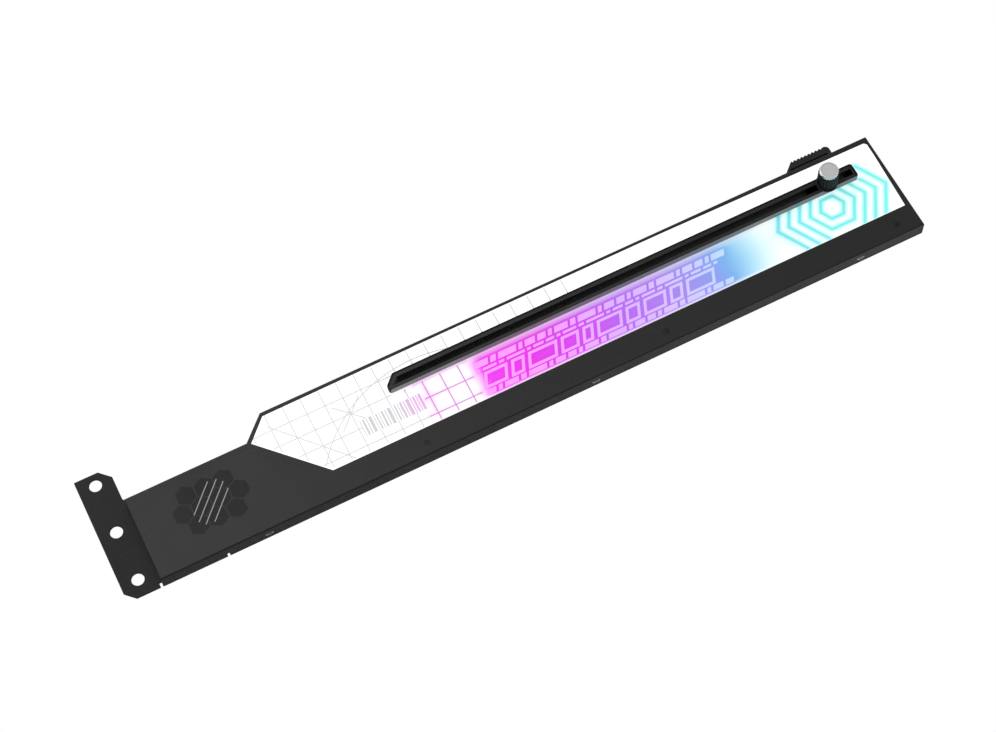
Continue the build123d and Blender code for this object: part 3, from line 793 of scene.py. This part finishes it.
# Height of the rim's lower edge that is painted lighter, as a painted reflection of the window's light.
PAINTED_GLOW_HEIGHT = 0.17 * MM
BLUSH_RUN = 12.0 * MM
BARS_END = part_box("print_bars")[1].x
FILM = {"roughness": 0.3, "depth": 0.002, "variation": 0.05}

FINISHES: dict[str, Finish] = {finish.slot: finish for finish in (
    Finish("black_steel", (0.0065, 0.0065, 0.007), 0.50, specular=0.195, grain=2600.0, depth=0.03,
           scuffs=0.1),
    Finish("black_cover", (0.0085, 0.0085, 0.009), 0.44, specular=0.27, grain=4200.0, depth=0.012,
           scuffs=0.06),
    # The rim's plastic, with painted shade in the slot, along its outer edge and outline and towards its
    # right end, and a painted reflection on its lower edge.
    PaintedShadeFinish("black_plastic", (0.040, 0.040, 0.041), 0.45, specular=0.06, grain=5200.0, depth=0.008,
                 low=SLOT_LOW, high=SLOT_HIGH, painted_glow_top=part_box("slot_bezel")[0].z + PAINTED_GLOW_HEIGHT,
                 outline=rim_outline()),
    WindowFinish("white_panel", (0.44, 0.44, 0.445), 0.18, specular=0.3, grain=400.0, depth=0.002,
                 variation=0.02, spread=0.03, glow=0.80),
    Finish("diffuser", (0.86, 0.86, 0.86), 0.6, grain=6000.0, depth=0.01, variation=0.03),
    ClearFinish("clear_guide", (0.93, 0.95, 0.95), 0.06, grain=800.0, depth=0.002, variation=0.01,
                spread=0.02),
    Finish("white_sheet", (0.88, 0.88, 0.87), 0.5, grain=5000.0, depth=0.006, variation=0.03),
    Finish("white_plastic", (0.8, 0.8, 0.78), 0.4, grain=4000.0, depth=0.01, variation=0.04),
    Finish("board", (0.82, 0.83, 0.80), 0.35, grain=2500.0, depth=0.006, variation=0.06),
    Finish("led_white", (0.86, 0.86, 0.84), 0.3, depth=0.004),
    Finish("led_yellow", (0.85, 0.62, 0.12), 0.2, depth=0.004, coat=0.4),
    Finish("socket_plastic", (0.02, 0.02, 0.021), 0.4, grain=3500.0, depth=0.012),
    Finish("pin_brass", (0.72, 0.52, 0.22), 0.25, metallic=1.0, depth=0.004),
    Finish("plated_steel", (0.72, 0.72, 0.71), 0.35, metallic=1.0, grain=2400.0, depth=0.006, scuffs=0.25),
    Finish("dark_screw", (0.0075, 0.0075, 0.0075), 0.42, specular=0.25, grain=2400.0, depth=0.006,
           scuffs=0.1),
    Finish("black_washer", (0.015, 0.015, 0.016), 0.42, specular=0.4, grain=4000.0, depth=0.01),
    Finish("knob_black", (0.0055, 0.0035, 0.0038), 0.4, specular=0.105, grain=3500.0, depth=0.01),
    SpunFinish("knob_silver", (0.61, 0.61, 0.61), 0.34, metallic=1.0, depth=0.004, variation=0.05,
               spread=0.05, centre=knob_axis()),
    Finish("rubber", (0.009, 0.009, 0.0095), 0.6, specular=0.25, grain=1800.0, depth=0.05, variation=0.2),
    BlushFinish("print_grey", (0.72, 0.72, 0.74), reach=(BARS_END - BLUSH_RUN, BARS_END), **FILM),
    Finish("print_faint", (0.76, 0.76, 0.78), **FILM),
    *(PrintFinish(f"print_{name}", (level, level, level), share=share, glow=glow, **FILM)
      for name, level, share, glow in (
          ("grid", 0.25, 0.76, 0.42), ("magenta", 0.5, 0.76, 0.85), ("violet", 0.5, 0.74, 0.85),
          ("blue", 0.5, 0.72, 0.85), ("cyan", 0.5, 0.84, 0.62))),
    Finish("print_dark", (0.003, 0.003, 0.003), 0.3, specular=0.12, depth=0.004),
    Finish("print_pale", (0.32, 0.32, 0.33), 0.45, grain=2500.0, depth=0.006, variation=0.2),
)}


def paint(piece: Piece, finish: Finish) -> None:
    """Gives a piece one finish all over."""
    piece.data.materials.clear()
    piece.data.materials.append(finish.material())


def hand_over(piece: Piece, body: Body, slot: str, *nodes: str) -> None:
    """Paints a new piece and ties it to its body.

    Args:
        piece: the finished object.
        body: the body it rides on.
        slot: its material slot.
        nodes: the nodes it stands for.
    """
    paint(piece, FINISHES[slot])
    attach(piece, body.value)
    if nodes:
        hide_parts(*nodes)
    LOG.info("%s: %d faces on %s", piece.name, len(piece.data.polygons), body.value)


def outward_of(start: Vector, end: Vector) -> Vector:
    """The direction out of an outline that runs clockwise from start to end, seen from the front."""
    return Vector((start.z - end.z, 0.0, end.x - start.x)).normalized()


@dataclass
class LitWindow:
    """The front of the white window, with the colour that the light throws on it.

    Attributes:
        cell: size of the front's mesh cells.
        lift: how far the front stands before the panel's own face.
        border: width of the panel's edge that stays bare.
        rim_edge: how far the front reaches under the rim.
        near: reach of the strong colour at the print's edges.
        far: reach of the wide halo.
        rings_halo: strength of both round the rings.
        faint_halo: strength of both round the thin lines.
        band_glow_and_shadow_line: strength of both round the band's print; the near part is a painted shadow
            line beside the print, the far part a glow.
        wash: strength of the colour all over the band.
        soft: length over which the band's colour starts, and its share that lies before the band.
        tail: length over which it runs out behind the band, and its share that lies in the band.
        crest_rise: height over which it fades towards the rim.
        foot_rise: height over which it fades towards the window's lower edge.
        faded: what is left of it at both.
        tuck: how far the band's colour reaches under the rim.
        blush: strength and reach of the colour round the far end of the bars.
        pool: strength and reach of the colour between the band and the rings.
        sample: spacing of the points taken from the print.
        most: the most points along a triangle's edge for each one across it.
        frontal: normals with a Y below this face the front.
        band: printed nodes of the coloured band.
        rings: printed nodes of the free end.
        faint: printed nodes with a weak halo.
    """

    cell: float = 0.5 * MM
    lift: float = 0.03 * MM
    border: float = 0.05 * MM
    rim_edge: float = 1.2 * MM
    near: float = 0.5 * MM
    far: float = 2.4 * MM
    rings_halo: Pair = (0.42, 0.34)
    faint_halo: Pair = (0.28, 0.06)
    band_glow_and_shadow_line: Pair = (0.1, 0.06)
    wash: float = 0.96
    soft: Pair = (9.0 * MM, 0.5)
    tail: Pair = (26.0 * MM, 0.75)
    crest_rise: float = 4.2 * MM
    foot_rise: float = 1.3 * MM
    faded: float = 0.4
    tuck: float = 1.0 * MM
    blush: Pair = (0.22, 8.0 * MM)
    pool: Pair = (0.28, 12.0 * MM)
    sample: float = 0.35 * MM
    most: int = 60
    frontal: float = -0.9
    band: tuple[str, ...] = ("print_band_magenta", "print_band_violet", "print_band_blue")
    rings: tuple[str, ...] = ("print_rings_cyan",)
    faint: tuple[str, ...] = ("print_grid_lit",)

    def build(self) -> None:
        """Makes the front, works out its glow and hands it over."""
        front = self.sheet(self.cell, self.lift)
        with Bench.shaping(front):
            self.trim(self.border)
            self.clear_slot(front)
        self.glow(front)
        Bench.settle(front, "window_front")
        hand_over(front, Body.BAR, "white_panel")

    @staticmethod
    def sheet(cell: float, lift: float, over: float = 0.0) -> Piece:
        """A grid over the panel's front face.

        Args:
            cell: size of its cells.
            lift: how far it stands before the face.
            over: how far it reaches past the face on each side.

        Returns:
            The new object.
        """
        low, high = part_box("light_panel")
        width, height = high.x - low.x + 2 * over, high.z - low.z + 2 * over
        Bench.clear()
        bpy.ops.mesh.primitive_grid_add(
            x_subdivisions=max(1, round(width / cell)), y_subdivisions=max(1, round(height / cell)),
            size=1.0, location=((low.x + high.x) / 2, low.y - lift, (low.z + high.z) / 2),
            rotation=FACING_FRONT,
        )
        piece = bpy.context.object
        piece.scale = (width, height, 1.0)
        Bench.apply()
        return piece

    @staticmethod
    def corners() -> list[Vector]:
        """The corners of the panel's front face.

        Returns:
            The corners, clockwise from the lower left one.
        """
        skin = 0.01 * MM
        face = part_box("light_panel")[0].y + skin
        front = [v.co for v in frame["nodes"]["light_panel"].data.vertices if v.co.y < face]
        tip = min(front, key=lambda co: co.x)
        base, top = min(co.z for co in front), max(co.z for co in front)
        foot = min(co.x for co in front if co.z < base + skin)
        crest = min(co.x for co in front if co.z > top - skin)
        right = max(co.x for co in front)
        spots = ((foot, base), (tip.x, tip.z), (crest, top), (right, top), (right, base))
        return [Vector((x, 0.0, z)) for x, z in spots]

    @staticmethod
    def trim(border: float) -> None:
        """Cuts the mesh in edit mode to the outline of the panel's front face.

        Args:
            border: how far inside the outline it is cut.
        """
        around = LitWindow.corners()
        for place, following in zip(around, around[1:] + around[:1]):
            outward = outward_of(place, following)
            Bench.cut(place - outward * border, outward, clear_outer=True)

    def clear_slot(self, piece: Piece) -> None:
        """Takes away the cells that lie well inside the rim's outline.

        Args:
            piece: the grid, in edit mode.
        """
        low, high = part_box("slot_bezel")
        edge = self.rim_edge
        lean = 2 * (high.z - SLOT_HIGH[2]) + edge

        def under_rim(face: bmesh.types.BMFace) -> bool:
            """Says whether a cell lies well inside the rim's outline."""
            spot = face.calc_center_median()
            return (low.x + edge < spot.x < high.x - edge and low.z + edge < spot.z < high.z - edge
                    and spot.x - low.x + high.z - spot.z > lean)

        Bench.pick(piece, under_rim)
        bpy.ops.mesh.delete(type="FACE")

    def marks(self, nodes: Sequence[str]) -> KDTree:
        """Points spread over the print's front faces.

        Args:
            nodes: the printed nodes.

        Returns:
            A tree of those points.
        """
        points = []
        for node in nodes:
            mesh = frame["nodes"][node].data
            mesh.calc_loop_triangles()
            for triangle in mesh.loop_triangles:
                if triangle.normal.y > self.frontal:
                    continue
                a, b, c = (mesh.vertices[i].co for i in triangle.vertices)
                steps = max(1, int(max((b - a).length, (c - a).length, (c - b).length) / self.sample))
                across = int(triangle.area / max((b - a).length, (c - a).length) / self.sample) + 1
                steps = min(steps, self.most * across)
                for start, end in ((a, b), (b, c), (c, a)):
                    points += [start.lerp(end, i / steps) for i in range(steps + 1)]
        tree = KDTree(len(points))
        for index, point in enumerate(points):
            tree.insert((point.x, 0.0, point.z), index)
        tree.balance()
        return tree

    def glow(self, piece: Piece) -> None:
        """Writes the share of colour at each point: a wash over the band, strong close to the print.

        Args:
            piece: the front.
        """
        band, rings, faint = self.marks(self.band), self.marks(self.rings), self.marks(self.faint)
        start = min(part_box(node)[0].x for node in self.band)
        end = max(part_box(node)[1].x for node in self.band)
        far_end = min(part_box(node)[0].x for node in self.rings)
        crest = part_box("slot_bezel")[0].z
        foot = min(vertex.co.z for vertex in piece.data.vertices)
        bars_low, bars_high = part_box("print_bars")
        spots = (
            (Vector((bars_high.x, 0.0, (bars_low.z + bars_high.z) / 2)), *self.blush),
            (Vector(((end + far_end) / 2, 0.0, (foot + crest) / 2)), *self.pool),
        )
        shares = []
        for vertex in piece.data.vertices:
            spot = Vector((vertex.co.x, 0.0, vertex.co.z))
            share = self.halo(faint, spot, self.faint_halo) + self.halo(rings, spot, self.rings_halo)
            for centre, power, reach in spots:
                share += power * math.exp(-((spot - centre).length / reach) ** 2)
            if spot.z < crest + self.tuck:
                level = self.step((crest + self.tuck - spot.z) / self.crest_rise)
                level *= self.step((spot.z - foot) / self.foot_rise)
                level = self.faded + (1.0 - self.faded) * level
                level *= self.step((spot.x - start) / self.soft[0] + self.soft[1])
                level *= self.step((end - spot.x) / self.tail[0] + self.tail[1])
                # Painted shade: the near part of the band's halo deepens the colour in a thin shadow line
                # beside the print.
                share += self.wash * level + self.halo(band, spot, self.band_glow_and_shadow_line)
            shares.append(min(1.0, share))
        piece.data.attributes.new("glow", "FLOAT", "POINT").data.foreach_set("value", shares)

    def halo(self, marks: KDTree, spot: Vector, strength: Pair) -> float:
        """The colour's share beside the print.

        Args:
            marks: the print's points.
            spot: the place.
            strength: that of the near part and of the far one.

        Returns:
            The share.
        """
        reach = marks.find(spot)[2]
        close, wide = strength
        return close * math.exp(-((reach / self.near) ** 2)) + wide * math.exp(-reach / self.far)

    @staticmethod
    def step(value: float) -> float:
        """A smooth step from 0 to 1 over the range 0 to 1."""
        value = min(1.0, max(0.0, value))
        return value * value * (3.0 - 2.0 * value)


@dataclass
class WindowEdgeShadow:
    """A black sheet of changing width on the panel's edge, a painted shadow along the ramp, the top's two
    ends and the right side.

    Attributes:
        lift: how far it stands before the panel's face.
        thick: its thickness.
        over: how far it reaches into the clearance round the panel.
        ramp: its width at the ramp's lower and upper end.
        left_run: length of the top's left part.
        left_width: that part's width at the ramp.
        right_run: length of the top's right part.
        right_width: that part's width at the corner.
        side_drop: how far below the corner the side's part starts.
        side_width: that part's width at its lower end.
        bevel: legs of the corner's part.
    """

    lift: float = 0.05 * MM
    thick: float = 0.01 * MM
    over: float = 0.11 * MM
    ramp: Pair = (0.4 * MM, 0.15 * MM)
    left_run: float = 75.0 * MM
    left_width: float = 0.36 * MM
    right_run: float = 90.0 * MM
    right_width: float = 1.0 * MM
    side_drop: float = 7.0 * MM
    side_width: float = 0.9 * MM
    bevel: float = 1.9 * MM

    def build(self) -> None:
        """Makes each part, joins them and hands them over."""
        _, tip, crest, corner, base = LitWindow.corners()
        stretches = (
            (tip, self.ramp[0], crest, self.ramp[1]),
            (crest, self.left_width, crest + ALONG * self.left_run, 0.0),
            (corner - ALONG * self.right_run, 0.0, corner, self.right_width),
            (corner - UP * self.side_drop, 0.0, base, self.side_width),
            (corner - ALONG * self.bevel, 0.0, corner - UP * self.bevel, 0.0),
        )
        parts = [self.part(*stretch, layer) for layer, stretch in enumerate(stretches)]
        # Painted shadow: the black sheet darkens and widens the window's border.
        hand_over(Bench.joined(parts, "window_edge_shadow"), Body.BAR, "black_cover")

    def part(self, start: Vector, narrow: float, end: Vector, wide: float, layer: int) -> Piece:
        """A sliver between the outline and a line inside it.

        Args:
            start: where the outline's stretch starts.
            narrow: the sliver's width there.
            end: where the stretch ends.
            wide: the sliver's width there.
            layer: its number, so that no two lie in one plane.

        Returns:
            The new object.
        """
        outward = outward_of(start, end)
        first, last = start - outward * narrow, end - outward * wide
        piece = LitWindow.sheet(1.0, self.lift + layer * self.thick, self.over)
        with Bench.shaping(piece):
            LitWindow.trim(-self.over)
            Bench.cut(first, outward_of(first, last), clear_inner=True)
            Bench.thicken((0.0, self.thick, 0.0))
        return piece


@dataclass
class FineLines:
    """The thin printed lines, cut off a little below the rim.

    Attributes:
        gap: how far below the rim they end.
    """

    gap: float = 0.75 * MM

    def build(self) -> None:
        """Makes both sets of lines."""
        low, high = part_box("slot_bezel")
        end = low.z - self.gap

        def by_rim(face: bmesh.types.BMFace) -> bool:
            """Says whether a face lies beside the rim or under it."""
            spot = face.calc_center_median()
            return spot.x > low.x and end < spot.z < high.z

        for node, name, slot in (("print_grid_lit", "lit_lines", "print_grid"),
                                 ("print_draft_lines", "faint_lines", "print_faint")):
            piece = Bench.copy_of(node)
            with Bench.shaping(piece):
                Bench.cut((0.0, 0.0, end), UP)
                Bench.cut((low.x, 0.0, 0.0), ALONG)
                Bench.pick(piece, by_rim)
                bpy.ops.mesh.delete(type="FACE")
            hand_over(Bench.settle(piece, name), Body.BAR, slot, node)


@dataclass(frozen=True)
class EasedPiece:
    """A node's copy with its sharp edges rounded.

    Attributes:
        node: the node that it stands for.
        name: the piece's name.
        body: the body that it rides on.
        slot: its material slot.
        width: the rounding's width.
        sharp_deg: edges sharper than this are rounded.
    """

    node: str
    name: str
    body: Body
    slot: str
    width: float
    sharp_deg: float

    def build(self) -> None:
        """Makes the piece and hands it over."""
        piece = Bench.copy_of(self.node)
        Bench.ease(piece, self.width, self.sharp_deg)
        hand_over(Bench.settle(piece, self.name), self.body, self.slot, self.node)


@dataclass
class Knob:
    """The clamp knob: a fluted grip and a bright cap with a bevelled edge, a raised rim and a shallow dish.

    Attributes:
        grip: the grip.
        rim: width of the cap's raised rim.
        dish: depth of the cap's face below its rim.
        edge: rounding of the cap's edges.
        segments: how many faces that rounding has across.
        profile: shape of that rounding.
        around: how many sides the cap has.
        skin: how close to the cap's front an edge of it lies.
        frontal: normals with a Y below this face the front.
        least: area that only the front face reaches.
        smooth_deg: edges flatter than this are shaded smooth.
    """

    grip: EasedPiece = EasedPiece("knob_body", "knob_grip", Body.KNOB, "knob_black", width=0.08 * MM,
                                  sharp_deg=25.0)
    rim: float = 0.35 * MM
    dish: float = 0.1 * MM
    edge: float = 0.3 * MM
    segments: int = 4
    profile: float = 0.6
    around: int = 96
    skin: float = 0.01 * MM
    frontal: float = -0.99
    least: float = 10.0 * MM * MM
    smooth_deg: float = 30.0

    def build(self) -> None:
        """Makes the grip and the cap."""
        self.grip.build()
        low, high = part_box("knob_cap")
        Bench.clear()
        bpy.ops.mesh.primitive_cylinder_add(
            vertices=self.around, radius=(high.x - low.x) / 2, depth=high.y - low.y,
            location=(low + high) / 2, rotation=FACING_FRONT,
        )
        piece = bpy.context.object
        Bench.apply()
        with Bench.shaping(piece):
            front = low.y + self.skin
            Bench.pick(piece, lambda edge: all(v.co.y < front for v in edge.verts), "EDGE")
            bpy.ops.mesh.bevel(offset=self.edge, segments=self.segments, profile=self.profile)
            Bench.pick(piece, lambda face: face.normal.y < self.frontal and face.calc_area() > self.least)
            bpy.ops.mesh.inset(thickness=self.rim)
            bpy.ops.mesh.inset(thickness=self.dish)
            bpy.ops.transform.translate(value=(0.0, self.dish, 0.0))
        hand_over(Bench.settle(piece, "knob_face", self.smooth_deg), Body.KNOB, "knob_silver", "knob_cap")


@dataclass
class SnapRims:
    """The bright punched rims of the three snap windows in the cover's lower wall.

    Attributes:
        width: width of the bare edge.
        height: how deep the edge shows.
        lift: how far it stands inside the wall's face.
        around: how many sides a full ring has.
        catch_rise: how far above the wall's face a catch has its end, from and to.
        catch_front: catches lie before this Y.
        spacing: points nearer than this along X are one catch's.
        clearance: room between a catch and its window.
    """

    width: float = 0.3 * MM
    height: float = 0.5 * MM
    lift: float = 0.02 * MM
    around: int = 40
    catch_rise: Pair = (0.5 * MM, 0.7 * MM)
    catch_front: float = -2.0 * MM
    spacing: float = 5.0 * MM
    clearance: float = 0.2 * MM

    def build(self) -> None:
        """Makes one half ring for each window, as one piece."""
        rings = [self.ring(place, radius) for place, radius in self.windows()]
        hand_over(Bench.joined(rings, "snap_rims"), Body.BAR, "plated_steel")

    def windows(self) -> list[tuple[Vector, float]]:
        """Finds each snap window from the back plate's catches.

        Returns:
            The place and radius of each.
        """
        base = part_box("front_cover")[0].z
        least, most = self.catch_rise
        spots = [v.co for v in frame["nodes"]["back_plate"].data.vertices
                 if base + least < v.co.z < base + most and v.co.y < self.catch_front]
        groups: list[list[Vector]] = []
        for spot in sorted(spots, key=lambda co: co.x):
            if groups and spot.x - groups[-1][-1].x < self.spacing:
                groups[-1].append(spot)
            else:
                groups.append([spot])
        found = []
        for group in groups:
            left, right = group[0].x, group[-1].x
            middle = Vector(((left + right) / 2, min(co.y for co in group), base))
            found.append((middle, (right - left) / 2 + self.clearance))
        return found

    def ring(self, place: Vector, radius: float) -> Piece:
        """A thin half ring inside a window's edge.

        Args:
            place: the middle of the window's flat side, on the wall's outer face.
            radius: the window's radius.

        Returns:
            The new object.
        """
        Bench.clear()
        bpy.ops.mesh.primitive_circle_add(vertices=self.around, radius=radius, fill_type="NGON",
                                          location=place + UP * self.lift)
        piece = bpy.context.object
        Bench.apply()
        with Bench.shaping(piece):
            Bench.cut(place, (0.0, -1.0, 0.0), clear_outer=True)
            bpy.ops.mesh.select_all(action="SELECT")
            bpy.ops.mesh.inset(thickness=self.width)
            bpy.ops.mesh.delete(type="FACE")
            Bench.thicken((0.0, 0.0, self.height))
        return piece


@dataclass
class Studio:
    """The plain white studio: camera, lamps, floor and backdrop.

    Attributes:
        width: width of the picture in pixels.
        focal: focal length in pixels.
        sensor: width of the sensor in millimetres.
        clip: nearest and farthest distance that is seen.
        place: the camera's place.
        heading: direction to the right of +Y, in degrees.
        pitch: how far the camera looks up, in degrees.
        roll: turn about the line of sight, in degrees.
        middle: the bar's middle, where lamps aim.
        floor: the floor's Z.
        far: how far behind and above the floor the backdrop's middle stands.
        extent: side of the floor and of the backdrop.
        pale: the floor's grey and its roughness.
        ambient: the surround's strength as light.
        lamps: name, place, side in metres and power in watts of each lamp.
    """

    width: int = 996
    focal: float = 2253.7
    sensor: float = 36.0
    clip: Pair = (0.05, 50.0)
    place: Point = (0.01067, -0.75058, -0.34397)
    heading: float = 10.654
    pitch: float = 24.050
    roll: float = 29.139
    middle: Point = (0.16, 0.0, 0.0)
    floor: float = -1.6
    far: float = 6.0
    extent: float = 14.0
    pale: Pair = (0.65, 0.9)
    ambient: float = 0.62
    lamps: tuple[tuple[str, Point, float, float], ...] = (
        ("key", (-0.35, -1.3, 0.9), 0.9, 6.0),
        ("glint", (0.0, -1.45, 0.62), 0.5, 2.9),
        ("fill", (0.9, -1.2, -0.2), 1.0, 2.2),
        ("low", (0.75, 1.2, -0.55), 0.6, 0.45),
        ("back", (0.2, 1.3, 0.9), 1.0, 5.0),
    )

    def build(self) -> None:
        """Makes everything in the studio."""
        self.camera()
        self.world()
        for lamp in self.lamps:
            self.lamp(*lamp)
        self.ground()
        bpy.context.scene.view_settings.view_transform = "Standard"

    def camera(self) -> None:
        """The camera, from its place, heading, pitch and roll."""
        data = bpy.data.cameras.new("camera")
        data.sensor_width = self.sensor
        data.lens = self.sensor * self.focal / self.width
        data.clip_start, data.clip_end = self.clip
        camera = bpy.data.objects.new("camera", data)
        bpy.context.scene.collection.objects.link(camera)
        turn = (Matrix.Rotation(-math.radians(self.heading), 4, "Z")
                @ Matrix.Rotation(math.radians(90.0 + self.pitch), 4, "X")
                @ Matrix.Rotation(-math.radians(self.roll), 4, "Z"))
        camera.matrix_world = Matrix.Translation(self.place) @ turn
        bpy.context.scene.camera = camera

    @staticmethod
    def seen(sheet: NodeSheet) -> Socket:
        """1 where the camera sees a surface straight or through clear pieces."""
        path = sheet.add("ShaderNodeLightPath")
        return sheet.maths("MAXIMUM", path.outputs["Is Camera Ray"], path.outputs["Is Transmission Ray"])

    def world(self) -> None:
        """A white surround: full white to the camera, softer as light."""
        world = bpy.data.worlds.new("surround")
        world.use_nodes = True
        bpy.context.scene.world = world
        sheet = NodeSheet(world.node_tree)
        background = world.node_tree.nodes["Background"]
        background.inputs["Color"].default_value = WHITE
        strength = sheet.span(self.seen(sheet), (0.0, 1.0), (self.ambient, 1.0))
        sheet.join(strength, background.inputs["Strength"])

    def lamp(self, name: str, place: Point, size: float, power: float) -> None:
        """A soft square lamp aimed at the bar.

        Args:
            name: the lamp's name.
            place: where it hangs.
            size: its side in metres.
            power: its power in watts.
        """
        data = bpy.data.lights.new(name, "AREA")
        data.energy, data.size = power, size
        lamp = bpy.data.objects.new(name, data)
        bpy.context.scene.collection.objects.link(lamp)
        lamp.location = place
        aim = Vector(self.middle) - Vector(place)
        lamp.rotation_euler = aim.to_track_quat("-Z", "Y").to_euler()

    def ground(self) -> None:
        """A pale floor far below and a backdrop far behind."""
        material = bpy.data.materials.new("pale_ground")
        material.use_nodes = True
        sheet = NodeSheet(material.node_tree)
        shader = material.node_tree.nodes["Principled BSDF"]
        grey, roughness = self.pale
        shader.inputs["Base Color"].default_value = opaque((grey, grey, grey))
        shader.inputs["Roughness"].default_value = roughness
        white = sheet.add("ShaderNodeEmission", {"Color": WHITE, "Strength": 1.0})
        mixed = sheet.add("ShaderNodeMixShader", {0: self.seen(sheet), 1: shader.outputs[0],
                                                  2: white.outputs[0]})
        output = material.node_tree.nodes["Material Output"]
        sheet.join(mixed.outputs[0], output.inputs["Surface"])
        x = self.middle[0]
        for name, place, turn in (("floor", (x, 0.0, self.floor), (0.0, 0.0, 0.0)),
                                  ("backdrop", (x, self.far, self.floor + self.far), FACING_FRONT)):
            Bench.clear()
            bpy.ops.mesh.primitive_plane_add(size=self.extent, location=place, rotation=turn)
            ground = bpy.context.object
            ground.name = name
            ground.data.materials.append(material)


def dress_nodes() -> None:
    """Gives every node of the frame the finish that its slot names."""
    for part in frame["record"]["subparts"]:
        paint(frame["nodes"][part["node"]], FINISHES[part["material_slot"]])


def main() -> None:
    """Dresses the frame, makes the detailed pieces and sets up the studio."""
    logging.basicConfig(level=logging.INFO, format="%(message)s")
    dress_nodes()
    for part in (
        LitWindow(), WindowEdgeShadow(), FineLines(), Knob(),
        EasedPiece("support_arm", "arm_sheet", Body.REST, "black_steel", width=0.15 * MM, sharp_deg=30.0),
        EasedPiece("rubber_pad", "ribbed_pad", Body.REST, "rubber", width=0.14 * MM, sharp_deg=30.0),
        EasedPiece("back_plate", "back_sheet", Body.BAR, "black_steel", width=0.12 * MM, sharp_deg=40.0),
        SnapRims(), Studio(),
    ):
        part.build()
        LOG.info("%s done", type(part).__name__)


if __name__ == "__main__":
    main()
